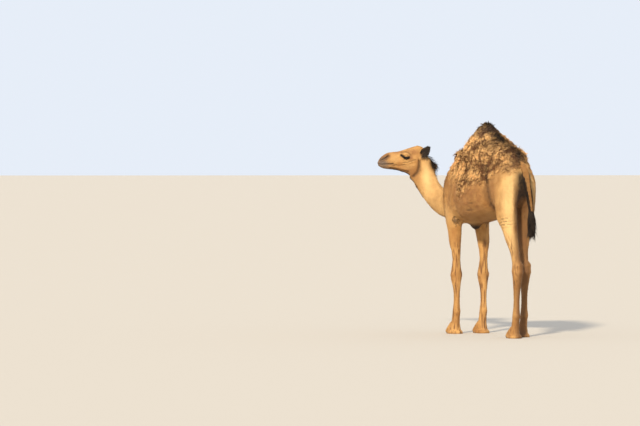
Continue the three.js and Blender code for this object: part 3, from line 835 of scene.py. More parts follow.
def dark_on_trunk(points):
    """1 on the tips of the crest and rump and on the chest pad; painted shade in the folds and creases of the
    skin and between the thighs, where dark hair grows as well.
    """
    left, ahead, up = body_measures(points)
    wool = wool_amount(points)
    folds = [on_both_sides(lambda p: ridge(p, line, width), points) for line, _, width in FOLDS]
    tops = 0.85 * bell((left, 0.12)) * step(up + 0.05 * noise(points, 0.05, 9), 1.99, 2.07)
    crest = 0.75 * bell((left, 0.055)) * step(up, 1.70, 1.80) * (0.5 + noise(points, 0.05, 9))
    rump = 0.55 * bell((left, 0.13)) * step(-ahead, 0.50, 0.60) * step(up, 1.66, 1.74)
    patches = 0.25 * step(noise(points, 0.11, 8), 0.55, 0.75)
    # Between the thighs: dark hair, and painted shade in the gap.
    crotch = np.clip(1.6 * bell((left, 0.070)), 0, 1) * step(-ahead, 0.60, 0.70) * step(up, 0.95, 1.1)
    pad = bell((left, 0.06), (ahead - 0.27, 0.12), (up - 1.07, 0.06))
    # Painted shade in the folds and along the flank's crease.
    return most(0.72 * most(*folds) * (1 - wool),
                0.66 * side_line(points, FLANK_CREASE, 0.022),
                np.clip(most(tops, crest, rump) + patches, 0, 1) * wool,
                0.9 * crotch * step(-up, -1.68, -1.60),
                np.clip(1.4 * pad, 0, 0.9),
                # Painted shade wherever the body's forms sink the skin.
                0.35 * step(-body_relief(points), 0.006, 0.016) * (1 - wool))


def dark_on_legs(points):
    """1 on calluses, knees and stifles, and in streaks down the legs; painted shade in their wrinkles and
    creases and between the hind legs.
    """
    _, ahead, up = body_measures(points)
    elbow = np.clip(0.85 * callus_rim(points) + 0.62 * callus(points), 0, 0.95)
    stifle = on_both_sides(lambda p: bell_at(p, place(0.19, -0.44, 1.14), 0.035), points)
    return most(elbow, 0.4 * stifle,
                # Painted shade in the troughs of the gaskin's wrinkles.
                0.64 * step(-gaskin_wrinkles(points), 0.15, 0.75),
                0.35 * bell((up - 0.58, 0.05), (ahead - 0.48, 0.03)),
                # Painted shade wherever the legs' forms sink the skin.
                0.42 * step(-leg_relief(points), 0.0010, 0.0085) * step(1.25 - up, 0, 0.1),
                0.50 * step(leg_streaks(points), 0.30, 1.0),
                # Painted shade between the hind legs.
                0.42 * shade_between_thighs(points) * (0.8 + 0.4 * noise(points, 0.04, 26)))


def dark_amount(points):
    """1 where the hair is nearly black."""
    return np.clip(most(dark_on_head(points), dark_on_trunk(points), dark_on_legs(points)), 0, 1)


# %% Brown, pale and bare places
# Size, place and reach ahead or behind the lips, place and reach in height
# The first row of BROWN_BODY, behind the upper arm, is painted shade in the groove there.
BROWN_BODY = [(0.95, 0.255, 0.045, 1.43, 0.18), (0.7, 0.05, 0.35, 1.22, 0.10),
              (0.80, -0.43, 0.10, 1.46, 0.26), (0.6, -0.50, 0.12, 1.66, 0.08)]
BROWN_HEAD = [(0.6, 0.28, 0.12, -0.085, 0.04), (0.8, 0.07, 0.05, 0.085, 0.03),
              (0.8, 0.37, 0.07, 0.125, 0.03), (0.9, 0.42, 0.022, -0.03, 0.10),
              (0.5, 0.20, 0.09, 0.125, 0.02), (0.6, 0.345, 0.025, 0.060, 0.03),
              (0.6, 0.365, 0.035, -0.10, 0.05)]
# The third row of PALE_BODY, on the back of the hind legs, is painted light on a side that the lamp leaves in
# shade.
PALE_BODY = [(1.0, -0.69, 0.08, 1.40, 0.28), (0.5, 0.45, 0.10, 1.20, 0.10), (0.7, -0.70, 0.07, 0.95, 0.25)]
PALE_HEAD = [(0.7, 0.50, 0.05, -0.10, 0.16), (0.35, 0.17, 0.06, 0.055, 0.035),
             (0.25, 0.30, 0.07, -0.035, 0.035), (0.5, 0.315, 0.022, 0.098, 0.014)]


def brown_amount(points):
    """1 where the short coat is a deep brown: flank, belly, front of the thigh, knees, parts of the head, and
    streaks down the legs. On the inner side of legs and thighs and along the flank's crease the brown is
    painted shade."""
    left, ahead, up = body_measures(points)
    back, above, _ = head_measures(points)
    flank = bell((ahead, 0.36), (up - 1.44, 0.24)) * (0.46 + 1.4 * noise(points, 0.04, 23))
    shoulder = 0.7 * bell((ahead - 0.40, 0.16), (up - 1.50, 0.16)) * (0.3 + noise(points, 0.05, 25))
    combed = step(noise(points * np.array([1, 0.7, 0.4]), 0.040, 24), 0.40, 0.85)
    legs = step(1.12 - up, 0, 0.2) * (ahead < 0.6)
    # Painted shade on the inner side of all four legs.
    inner = step(-np.abs(left), -0.125, -0.07) * legs
    joints = bell((up - 0.58, 0.06)) * (ahead > 0) + bell((up - 0.70, 0.06)) * (ahead < 0)
    head = sum(bells(back, above, BROWN_HEAD)) + 0.06 + 0.36 * noise(points, 0.035, 31)
    head += 0.45 * head_ridge(points, NOSTRIL, 0.026, 0.02) + 0.5 * head_ridge(points, JAW_LINE, 0.022)
    brown = most(flank, shoulder, *bells(ahead, up, BROWN_BODY),
                 # Painted shade along the flank's crease.
                 0.95 * side_line(points, FLANK_CREASE, 0.055),
                 0.55 * combed * bell((ahead + 0.52, 0.17), (up - 1.42, 0.30)),
                 legs * (0.15 + 0.95 * leg_streaks(points)),
                 (0.6 + 0.2 * (ahead < 0)) * inner,
                 # Painted shade between the hind legs.
                 0.95 * shade_between_thighs(points),
                 0.45 * joints * (ahead < 0.62),
                 head * head_mask(points))
    return np.clip(brown, 0, 1)


def pale_amount(points):
    """1 where the short coat is bleached: cheeks, sides of the neck and back of the thighs; and the back of
    the hind legs, where the paleness is painted light.
    """
    _, ahead, up = body_measures(points)
    back, above, _ = head_measures(points)
    neck = 0.40 * bell((ahead - 1.02, 0.24), (up - 1.42, 0.24)) * step(ahead, 0.66, 0.82)
    pale = neck + sum(bells(back, above, PALE_HEAD)) + sum(bells(ahead, up, PALE_BODY))
    return np.clip(pale, 0, 1)


def bare_amount(points):
    """1 where grey skin shows through very short hair: lips, rims of the nostrils, and calluses."""
    back, above, _ = head_measures(points)
    lips = step(-back, -0.160, -0.06) * step(-above, -0.042, -0.010) * step(above, -0.075, -0.045)
    lips = 0.85 * lips + 0.62 * bell((back - 0.045, 0.050), (above - 0.040, 0.035))
    return np.clip(np.where(back < 0.2, lips, 0.25 * callus(points)), 0, 1)


MARKINGS = {"wool": wool_amount, "dark": dark_amount, "pale": pale_amount, "brown": brown_amount,
            "bare": bare_amount}


def store_markings(mesh, places, each=1):
    """Works out all markings at some places, and stores each value on so many of a mesh's points in turn."""
    for name, formula in MARKINGS.items():
        set_value(mesh, name, np.repeat(formula(places), each))


# %% [markdown]
# ## The lie of the coat
# Hair lies backwards and down on the trunk, away from the crest on the hump, down the neck from the head,
# backwards from the nose on the face, and down the legs. One function gives this direction for any point.

# %% Which way the hair lies
NECK_LINE = np.array([place(0.10, 1.20, 1.85), place(0.094, 1.200, 1.68), place(0.056, 1.122, 1.475),
                      place(0.014, 0.910, 1.33), place(0.0, 0.64, 1.33), place(0.0, 0.4, 1.33)])
BACKWARDS, DOWN = np.array([0.0, 1.0, 0.0]), -UP
HUMP_MIDDLE = place(0, 0.04, 2.0)


def blend(a, b, share):
    """Mixes two fields of directions."""
    return a * (1 - share[:, None]) + b * share[:, None]


def lie_of(points, normals):
    """The direction along the skin in which the hair lies at each point."""
    _, ahead, up = body_measures(points)
    flow = np.tile(0.75 * BACKWARDS + 0.66 * DOWN, (len(points), 1))
    away = (points - HUMP_MIDDLE) * [1, 1, 0]
    hump = unit(away) * 0.5 + 0.45 * BACKWARDS + 0.75 * DOWN
    flow = blend(flow, hump, step(up, 1.74, 1.9) * (np.abs(ahead) < 0.6))
    _, number, _ = nearest_piece(points, NECK_LINE)
    neck = unit(np.diff(NECK_LINE, axis=0))[number]
    flow = blend(flow, neck, step(ahead, 0.60, 0.74))
    flow = blend(flow, -HEAD_AHEAD + 0.25 * DOWN, head_mask(points) * (ahead > 0.8))
    flow = blend(flow, DOWN, step(1.22 - up, 0, 0.2) * (ahead < 0.6))
    return square_to(flow, normals)


# %% Store the markings on the skin
def mark(mesh, points):
    """Works out a skin's markings, and where it is leg or head for the grain of its short hair."""
    _, ahead, up = body_measures(points)
    store_markings(mesh, points)
    wool = wool_amount(points)
    # Under the wool the skin takes the roots' dark colour: partly their own colour, partly painted shade
    # under the locks.
    set_value(mesh, "tip", 0.5 * (1 - wool) + 0.08 * wool)
    set_value(mesh, "shade", 0.5)
    set_value(mesh, "on_legs", step(1.2 - up, 0, 0.25) * (ahead < 0.62))
    set_value(mesh, "on_head", head_mask(points))


skin_points = points_of(skin_mesh)
skin_normals = normals_of(skin_mesh)
mark(skin_mesh, skin_points)
print("markings stored on", len(skin_points), "points")

# %% [markdown]
# ## Materials
# Skin and coat share one pattern of colour. It is a node group that takes the markings and puts out a
# colour: tan short hair, brown wool with bleached tips, nearly black hair, and grey bare skin.

# %% A short way to write nodes
def put(tree, socket, value):
    """Links a node's output to a socket, or sets the socket to a number, a colour or a vector."""
    if isinstance(value, bpy.types.NodeSocket):
        tree.links.new(value, socket)
    else:
        socket.default_value = value


def node(tree, kind, inputs=None, **settings):
    """Adds a node, sets its options, and links or sets its inputs."""
    made = tree.nodes.new(kind)
    for key, value in settings.items():
        setattr(made, key, value)
    for key, value in (inputs or {}).items():
        put(tree, made.inputs[key], value)
    return made


def mixed(tree, share, low, high):
    """A colour between two, by a share from 0 to 1."""
    made = node(tree, "ShaderNodeMix", {0: share}, data_type="RGBA")
    put(tree, made.inputs[6], low)
    put(tree, made.inputs[7], high)
    return made.outputs[2]


def texture(tree, spot, scale, detail):
    """The grey value of a smooth noise."""
    inputs = {"Vector": spot, "Scale": scale, "Detail": detail}
    return node(tree, "ShaderNodeTexNoise", inputs).outputs["Fac"]


def ramp(tree, value, low, high):
    """0 where a value is low, 1 where it is high, and an even rise between them."""
    inputs = {"Value": value, "From Min": low, "From Max": high}
    return node(tree, "ShaderNodeMapRange", inputs).outputs[0]


def new_material(name, settings):
    """A material with some inputs of its surface set: the material, its node tree and its surface."""
    material = bpy.data.materials.new(name)
    material.use_nodes = True
    surface = material.node_tree.nodes["Principled BSDF"]
    for key, value in settings.items():
        surface.inputs[key].default_value = value
    return material, material.node_tree, surface


def sum_of(tree, operation, a, b, clamp=False):
    """One calculation on two numbers."""
    return node(tree, "ShaderNodeMath", {0: a, 1: b}, operation=operation, use_clamp=clamp).outputs[0]


def new_group(name, inputs, outputs):
    """An empty node group with named sockets."""
    tree = bpy.data.node_groups.new(name, "ShaderNodeTree")
    for socket, kind in inputs:
        tree.interface.new_socket(socket, in_out="INPUT", socket_type=kind)
    for socket, kind in outputs:
        tree.interface.new_socket(socket, in_out="OUTPUT", socket_type=kind)
    return tree, tree.nodes.new("NodeGroupInput").outputs, tree.nodes.new("NodeGroupOutput").inputs


NUMBER, VECTOR, COLOUR = "NodeSocketFloat", "NodeSocketVector", "NodeSocketColor"
PALE_TAN, DEEP_TAN, BLEACHED_AND_LIT_TAN = (0.62, 0.350, 0.118, 1), (0.36, 0.165, 0.045, 1), (0.72, 0.470, 0.200, 1)
BROWN, SHADED = (0.300, 0.135, 0.045, 1), (0.20, 0.088, 0.030, 1)
WOOL_ROOT_AND_SHADE, WOOL_TIP = (0.135, 0.053, 0.020, 1), (0.94, 0.555, 0.222, 1)
NEARLY_BLACK, BARE_GREY = (0.014, 0.009, 0.007, 1), (0.155, 0.105, 0.075, 1)


# %% The shared colour of skin and coat
COAT_SOCKETS = ["Wool", "Dark", "Pale", "Brown", "Bare", "Tip", "Shade"]


def coat_colour_group():
    """Tan varies with slow noise; wool goes from root to tip colour; dark and bare places lie over both."""
    tree, into, out = new_group("coat colour", [("Place", VECTOR)] + [(n, NUMBER) for n in COAT_SOCKETS],
                                [("Color", COLOUR)])
    broad = ramp(tree, texture(tree, into["Place"], 7.0, 4.0), 0.35, 0.65)
    fine = texture(tree, into["Place"], 60.0, 3.0)
    tan = mixed(tree, broad, DEEP_TAN, PALE_TAN)
    # Pale places: bleached coat, and painted light on the back of the hind legs.
    tan = mixed(tree, into["Pale"], tan, BLEACHED_AND_LIT_TAN)
    uneven = sum_of(tree, "ADD", 0.65, sum_of(tree, "MULTIPLY", broad, 0.6))
    tan = mixed(tree, sum_of(tree, "MULTIPLY", into["Brown"], uneven, clamp=True), tan, BROWN)
    around = sum_of(tree, "SUBTRACT", into["Shade"], 0.5)
    grain = sum_of(tree, "MULTIPLY", sum_of(tree, "SUBTRACT", fine, 0.5), 0.7)
    tone = sum_of(tree, "ADD", sum_of(tree, "ADD", into["Tip"], around), grain, clamp=True)
    # Wool runs from the roots' colour, which also serves as painted shade under the locks and between clumps,
    # to the tip colour.
    wool = mixed(tree, tone, WOOL_ROOT_AND_SHADE, WOOL_TIP)
    shaded = sum_of(tree, "MULTIPLY", sum_of(tree, "SUBTRACT", 0.5, tone), 0.7, clamp=True)
    base = mixed(tree, into["Wool"], mixed(tree, shaded, tan, SHADED), wool)
    patches = sum_of(tree, "ADD", 0.90, sum_of(tree, "MULTIPLY", fine, 0.3))
    base = mixed(tree, sum_of(tree, "MULTIPLY", into["Dark"], patches, clamp=True), base, NEARLY_BLACK)
    tree.links.new(mixed(tree, into["Bare"], base, BARE_GREY), out["Color"])
    return tree


# %% The grain of short hair
# How the hair is turned on trunk, head and legs, and how finely the noise is drawn out along it
GRAIN_WAYS = [((math.radians(-41), 0, 0), (330, 40, 330)), ((0, 0, -HEAD_TURN), (330, 45, 330)),
              ((0, 0, 0), (330, 330, 40))]


def hair_grain_group():
    """Three noises drawn out along the lie of the hair on trunk, head and legs, and one for soft lumps."""
    tree, into, out = new_group("hair grain", [("Place", VECTOR), ("Legs", NUMBER), ("Head", NUMBER)],
                                [("Height", NUMBER)])
    heights = []
    for turn, scale in GRAIN_WAYS:
        turned = node(tree, "ShaderNodeMapping", {"Vector": into["Place"], "Rotation": turn}).outputs[0]
        drawn = node(tree, "ShaderNodeMapping", {"Vector": turned, "Scale": scale}).outputs[0]
        heights.append(texture(tree, drawn, 1.0, 3.0))
    off_legs = node(tree, "ShaderNodeMix", {0: into["Head"], 2: heights[0], 3: heights[1]}).outputs[0]
    strands = node(tree, "ShaderNodeMix", {0: into["Legs"], 2: off_legs, 3: heights[2]}).outputs[0]
    lumps = sum_of(tree, "MULTIPLY", texture(tree, into["Place"], 45.0, 4.0), 1.2)
    tree.links.new(sum_of(tree, "ADD", strands, lumps), out["Height"])
    return tree


COAT_COLOUR, HAIR_GRAIN = coat_colour_group(), hair_grain_group()


# %% Materials of skin and tufts
def value_of(tree, name):
    """The number stored under a name on the points."""
    return node(tree, "ShaderNodeAttribute", attribute_name=name).outputs["Fac"]


def hide_material(name, roughness, sheen, bump):
    """The shared colour on a rough, slightly velvety surface, with the grain of hair where bump isn't 0."""
    material, tree, surface = new_material(name, {
        "Roughness": roughness, "Sheen Weight": sheen, "Sheen Roughness": 0.4,
        "Sheen Tint": (0.9, 0.6, 0.35, 1), "Specular IOR Level": 0.25})
    spot = node(tree, "ShaderNodeTexCoord").outputs["Object"]
    inputs = {"Place": spot, **{socket: value_of(tree, socket.lower()) for socket in COAT_SOCKETS}}
    colour = node(tree, "ShaderNodeGroup", inputs, node_tree=COAT_COLOUR).outputs["Color"]
    tree.links.new(colour, surface.inputs["Base Color"])
    if bump:
        inputs = {"Place": spot, "Legs": value_of(tree, "on_legs"), "Head": value_of(tree, "on_head")}
        grain = node(tree, "ShaderNodeGroup", inputs, node_tree=HAIR_GRAIN).outputs["Height"]
        relief = node(tree, "ShaderNodeBump", {"Height": grain, "Distance": bump, "Strength": 0.8})
        tree.links.new(relief.outputs["Normal"], surface.inputs["Normal"])
    return material


SKIN_MATERIAL = hide_material("short coat on skin", 0.72, 0.12, 0.0022)
WOOL_MATERIAL = hide_material("wool locks", 0.88, 0.20, 0)
HAIR_MATERIAL = hide_material("hair tufts", 0.72, 0.12, 0)
skin_mesh.materials.clear()
skin_mesh.materials.append(SKIN_MATERIAL)

# %% [markdown]
# ## The coat
# Every lock is a thin solid with a three-cornered section that tapers to a point. Thousands of them are
# worked out together as whole arrays: the path of each lock rises from its root, bends over along the lie
# of the coat, curls sideways and leans to the tip of its clump. Particle hair would be quicker to comb, but
# only solid locks are kept when the model is used elsewhere.

# %% Scatter roots over the skin
RANDOM = np.random.default_rng(20)
# A cube's number is the sum of its three whole places times these. So many roots are tried for each cube's
# area that hardly a cube stays empty.
CUBE_STEPS = np.array([1, 4096, 4096 ** 2])
TRIES = 7


def cube_numbers(cubes):
    """One whole number for each small cube, from its three whole places."""
    return (cubes * CUBE_STEPS).sum(-1)


def corner_arrays(mesh):
    """Each triangle's three corners as point numbers, its area, and the direction it faces."""
    mesh.calc_loop_triangles()
    flat = np.empty(len(mesh.loop_triangles) * 3, np.int32)
    mesh.loop_triangles.foreach_get("vertices", flat)
    corners = flat.reshape(-1, 3)
    a, b, c = (skin_points[corners[:, k]] for k in range(3))
    across = np.cross(b - a, c - a)
    return corners, np.linalg.norm(across, axis=1) / 2, unit(across)


SKIN_CORNERS, SKIN_AREAS, SKIN_FACING = corner_arrays(skin_mesh)


def scatter(spacing, amount):
    """Roots spread evenly over the skin, one in each small cube, kept as often as amount(points) says."""
    wanted = int(TRIES * SKIN_AREAS.sum() / spacing ** 2)
    middle = skin_points[SKIN_CORNERS].mean(1)
    share = SKIN_AREAS * np.clip(amount(middle), 0, 1)
    tries = RANDOM.random(int(wanted * share.sum() / SKIN_AREAS.sum()))
    chosen = np.searchsorted(np.cumsum(share) / share.sum(), tries)
    chosen = np.minimum(chosen, len(share) - 1)
    u, v = RANDOM.random((2, len(chosen)))
    u, v = np.where(u + v > 1, 1 - u, u), np.where(u + v > 1, 1 - v, v)
    weights = np.stack([1 - u - v, u, v], -1)[:, :, None]
    roots = (skin_points[SKIN_CORNERS[chosen]] * weights).sum(1)
    cubes = np.floor(roots / spacing).astype(np.int64)
    _, first = np.unique(cube_numbers(cubes), return_index=True)
    keep = np.clip(amount(roots[first]), 0, 1) > RANDOM.random(len(first))
    return roots[first][keep], SKIN_FACING[chosen][first][keep]


# %% [markdown]
# ## How high a lock lies over the skin
# Where the skin bends inwards, as in a fold, a straight lock would run into it. So each lock's path is
# lifted where it comes too close. A search tree would find the nearest point exactly, but a table of the
# skin's mean place in each small cube is quick and near enough.

# %% The skin under a place
CELL = 0.012
FACES_THE_SAME_WAY = 0.35


def cell_averages():
    """The skin's mean place and outward direction in each small cube it passes through, in cube order."""
    cubes = cube_numbers(np.floor(skin_points / CELL).astype(np.int64))
    found, which, count = np.unique(cubes, return_inverse=True, return_counts=True)
    means = [np.stack([np.bincount(which, values[:, axis]) for axis in range(3)], -1) / count[:, None]
             for values in (skin_points, skin_normals)]
    return found, *means


CELLS, CELL_PLACES, CELL_NORMALS = cell_averages()


def height_over_skin(places, outward):
    """How far each place lies outside the nearest skin that faces its way, or 1 m if none is near."""
    own = np.floor(places / CELL).astype(np.int64)
    nearest, height = np.full(len(places), np.inf), np.ones(len(places))
    for shift in np.ndindex(3, 3, 3):
        cube = cube_numbers(own + np.array(shift) - 1)
        at = np.minimum(np.searchsorted(CELLS, cube), len(CELLS) - 1)
        away = places - CELL_PLACES[at]
        distance = np.linalg.norm(away, axis=1)
        same_way = np.sum(CELL_NORMALS[at] * outward, -1) > FACES_THE_SAME_WAY
        fits = (CELLS[at] == cube) & same_way & (distance < nearest)
        nearest = np.where(fits, distance, nearest)
        height = np.where(fits, np.sum(away * unit(CELL_NORMALS[at]), -1), height)
    return height


# %% Unwraps for the roots of the locks
def trunk_chart(roots):
    """An unwrap of the trunk: the angle round a line through its middle, and how far ahead."""
    left, ahead, up = body_measures(roots)
    return np.arctan2(left, up - 1.42), ahead


def neck_chart(roots):
    """An unwrap of neck and head: the angle round their middle line, and the way along it."""
    line = np.array([LIPS + 0.03 * UP, on_head(0.25, 0.02), on_head(0.40, 0.03), *NECK_LINE[1:5]])
    _, number, share = nearest_piece(roots, line)
    pieces = np.diff(line, axis=0)
    sizes = np.linalg.norm(pieces, axis=1)
    away = roots - line[number] - share[:, None] * pieces[number]
    across = unit(np.cross(pieces, UP))
    top = np.cross(across, unit(pieces))
    angle = np.arctan2(np.sum(away * across[number], -1), np.sum(away * top[number], -1))
    return angle, (np.cumsum(sizes) - sizes)[number] + share * sizes[number]


def leg_chart(roots):
    """An unwrap of the four legs side by side: the angle round each leg, and the height."""
    left, ahead, up = body_measures(roots)
    number = 2 * (ahead < 0) + (left < 0)
    centre_ahead = np.where(ahead > 0, 0.43, np.where(left > 0, -0.70, -0.52))
    centre_left = np.where(left > 0, 0.12, -0.13)
    return number * 7.0 + np.arctan2(left - centre_left, ahead - centre_ahead), up


# %% The path and the solid of a lock
# A whole round of phases, how far round a lock curls, and the powers of t for the pull and the narrowing
ROUND, TURNS, TIP_PULL, NARROWS = 6.28, 5.5, 1.3, 2.2
# How deep a lock is sunk as a share of its width, its greatest lift as a share of its length, and its height
# over the floor in metres
SUNK, MOST_LIFT, OVER_FLOOR = 0.12, 0.35, 0.0008


def lock_paths(roots, normals, lie, length, lift, droop, segments, curl, wander, seed):
    """The path of each lock, and the direction square to it along the skin.

    At the share t of its length it heads along cos(a) lie + sin(a) normal, where the angle a goes from lift
    to droop. A sideways wave of curl times the length is added.
    """
    n = len(roots)
    turned = (noise(roots, 0.07, seed) - 0.5) * 2.4 + RANDOM.normal(0, 1, n)
    side = np.cross(normals, lie)
    swing = wander * turned
    lie = np.cos(swing)[:, None] * lie + np.sin(swing)[:, None] * side
    side = np.cross(normals, lie)
    t = np.linspace(0, 1, segments + 1)
    heading = lift[:, None] + (droop - lift)[:, None] * (t[:-1] + 0.5 / segments)
    moves = np.cos(heading)[..., None] * lie[:, None] + np.sin(heading)[..., None] * normals[:, None]
    moves = moves * (length / segments)[:, None, None]
    path = roots[:, None] + np.concatenate([np.zeros((n, 1, 3)), np.cumsum(moves, 1)], 1)
    phase = RANDOM.random(n)[:, None] * ROUND
    wave = curl * length[:, None] * t
    path = path + (wave * np.sin(phase + TURNS * t))[..., None] * side[:, None]
    return path + (0.6 * wave * np.cos(phase + TURNS * t))[..., None] * lie[:, None], side


def lifted(path, normals, length, clear):
    """The paths raised where they lie lower over the skin than clear times the share of the length."""
    n, count = path.shape[:2]
    t = np.linspace(0, 1, count)[1:]
    height = height_over_skin(path[:, 1:].reshape(-1, 3), np.repeat(normals, count - 1, 0)).reshape(n, -1)
    path[:, 1:] += np.clip(clear * t - height, 0, MOST_LIFT * length[:, None])[..., None] * normals[:, None]
    return path


def lock_points(path, normals, side, width, thick):
    """Rings of three corners, at half the width to both sides and up by thick times that, and the tip."""
    n, count = path.shape[:2]
    t = np.linspace(0, 1, count)
    path = path - SUNK * width[:, None, None] * normals[:, None]
    half = 0.5 * width[:, None] * (1 - t[:-1] ** NARROWS)
    out, rise = half[..., None] * side[:, None], (thick * half)[..., None] * normals[:, None]
    rings = np.stack([path[:, :-1] - out, path[:, :-1] + rise, path[:, :-1] + out], 2).reshape(n, -1, 3)
    points = np.concatenate([rings, path[:, -1:]], 1).reshape(-1, 3)
    points[:, 2] = np.maximum(points[:, 2], OVER_FLOOR)
    return points


def lock_faces(segments):
    """The faces of one lock: rings of three joined one to the next, the tip, and the closed root."""
    tip = 3 * segments
    faces = []
    for a in range(0, tip - 3, 3):
        for k in range(3):
            m = (k + 1) % 3
            faces += [(a + k, a + 3 + k, a + m), (a + m, a + 3 + k, a + 3 + m)]
    faces += [(tip - 3 + k, tip, tip - 3 + (k + 1) % 3) for k in range(3)] + [(0, 1, 2)]
    return np.array(faces)


# %% A piece of many locks
PATCH = 0.003


def store_patches(mesh, chart, roots, segments, tips):
    """An unwrap named OFBake: each lock is a small patch at its root's place on the chart."""
    u, v = ((x - x.min()) / max(np.ptp(x), 1e-6) * 0.97 + 0.012 for x in chart(roots))
    patch_u = np.append(np.tile([0.0, 0.5, 1.0], segments), 0.5) * PATCH
    uv = np.stack([(u[:, None] + patch_u).ravel(), (v[:, None] + tips * PATCH).ravel()], -1)
    index = np.empty(len(mesh.loops), np.int32)
    mesh.loops.foreach_get("vertex_index", index)
    layer = mesh.uv_layers.new(name="OFBake")
    layer.data.foreach_set("uv", uv[index].astype(np.float32).ravel())


def tuft_piece(name, material, roots, normals, chart, length, width, lift, droop, curl=0.0, segments=4,
               gather=0.0, clump=0.035, flow=None, wander=0.3, tip_from=0.1, tip_to=1.0, thick=0.55, seed=1,
               darker=0.0, uneven=1.0, smooth=True, tone=0.0, clear=0.0):
    """One piece of many locks. length, width, lift and droop are numbers or arrays, angles in radians.

    The tips are pulled by the share gather towards their clump's middle. The shade of a lock is that of its
    clump, lighter in the middle than at the rim, with a random share of its own, all times uneven. The
    darkening towards the rim is painted shade in the gaps between clumps.
    """
    n = len(roots)
    measures = (length, width, lift, droop)
    length, width, lift, droop = (np.broadcast_to(np.asarray(x, float), n) for x in measures)
    lie = lie_of(roots, normals) if flow is None else flow
    path, side = lock_paths(roots, normals, lie, length, lift, droop, segments, curl, wander, seed)
    t = np.linspace(0, 1, segments + 1)
    centre, number = clump_of(roots, clump, seed)
    to_clump = centre - roots
    to_clump -= np.sum(to_clump * normals, -1, keepdims=True) * normals
    path = path + gather * to_clump[:, None] * (t ** TIP_PULL)[None, :, None]
    path = lifted(path, normals, length, clear)
    points = lock_points(path, normals, side, width, thick)
    per = 3 * segments + 1
    every = (lock_faces(segments)[None] + per * np.arange(n)[:, None, None]).reshape(-1, 3)
    piece = make_object(name, points, every, smooth)
    mesh = piece.data
    store_markings(mesh, roots, per)
    set_value(mesh, "dark", np.repeat(np.maximum(dark_amount(roots), darker), per))
    apart = np.linalg.norm(centre - roots, axis=1) / clump
    # Locks near a clump's rim are darker: painted shade in the gaps between clumps.
    mixture = 0.60 * (number - 0.5) + 0.9 * (0.40 - apart) + 0.30 * (RANDOM.random(n) - 0.5)
    set_value(mesh, "shade", np.repeat(0.5 + tone + uneven * mixture, per))
    tips = np.append(np.repeat(t[:-1], 3), 1.0)
    set_value(mesh, "tip", np.tile(tip_from + (tip_to - tip_from) * tips, n))
    store_patches(mesh, chart, roots, segments, tips)
    mesh.materials.append(material)
    print(name, n, "locks", len(every), "faces")
    return piece


# %% The wool of hump, back and shoulders
coat_pieces = []


def keep(piece, slot):
    """Notes the piece. The slot, which of the model's materials the piece stands for, is not used."""
    coat_pieces.append(piece)
    return piece


def wool_piece(name, chosen, spacing, length=0.040, width=0.0075):
    """Curly locks in clumps where the wool grows and chosen(points) says. They stand up along the crest."""
    roots, normals = scatter(spacing, lambda p: chosen(p) * step(wool_amount(p), 0.05, 0.35))
    left, ahead, up = body_measures(roots)
    grown = wool_amount(roots)
    vary = 0.70 + 0.6 * RANDOM.random(len(roots))
    _, number = clump_of(roots, 0.045, 1)
    top, on_top = step(up, 1.97, 2.04), step(normals[:, 2], 0.75, 0.95)
    crest = bell((left, 0.05)) * step(normals[:, 2], 0.2, 0.6) + step(up, 2.03, 2.08) * on_top
    crest = np.clip(crest, 0, 1)
    long = length * vary * (0.45 + 0.55 * grown) * (0.75 + 0.5 * number) * (1 - 0.30 * crest)
    lift = 0.22 + 0.33 * grown + 0.45 * (number - 0.5) + 0.20 * RANDOM.normal(0, 1, len(roots)) + 0.50 * crest
    long *= 1 + top * (0.60 * on_top - 0.30)
    lift -= 0.35 * top * (1 - on_top)
    droop = lift - 0.85 + 0.25 * crest + 0.40 * top * on_top
    tone = 1.3 * (noise(roots, 0.09, 17) - 0.5) + sum(bells(ahead, up, WOOL_TONES))
    piece = tuft_piece(name, WOOL_MATERIAL, roots, normals, trunk_chart, long, width * vary, lift, droop,
                       curl=0.13, gather=0.75, clump=0.050, wander=0.38, tip_from=0.12, tip_to=1.0,
                       uneven=1.2, tone=tone, clear=0.003)
    return keep(piece, "wool")


def area(way, rule):
    """A function of points that is 1 on one side of the body where rule(ahead, up) holds."""
    def chosen(points):
        left, ahead, up = body_measures(points)
        return ((way * left > 0) & rule(ahead, up)).astype(float)
    return chosen


SIDES = (("left", 1), ("right", -1))
HUMP_FOOT, WITHERS = 1.80, 0.10
WOOL_TONES = [(-0.30, -0.26, 0.13, 1.62, 0.16), (0.15, 0.38, 0.14, 1.62, 0.16),
              (0.12, 0.05, 0.15, 1.93, 0.08)]
WOOL_AREAS = (("hump", lambda _, up: up > HUMP_FOOT, 0.0076),
              ("shoulder", lambda ahead, up: (up <= HUMP_FOOT) & (ahead > WITHERS), 0.0073),
              ("loin", lambda ahead, up: (up <= HUMP_FOOT) & (ahead <= WITHERS), 0.0073))
for word, way in SIDES:
    for part, rule, spacing in WOOL_AREAS:
        wool_piece(f"{part}_wool_{word}", area(way, rule), spacing)


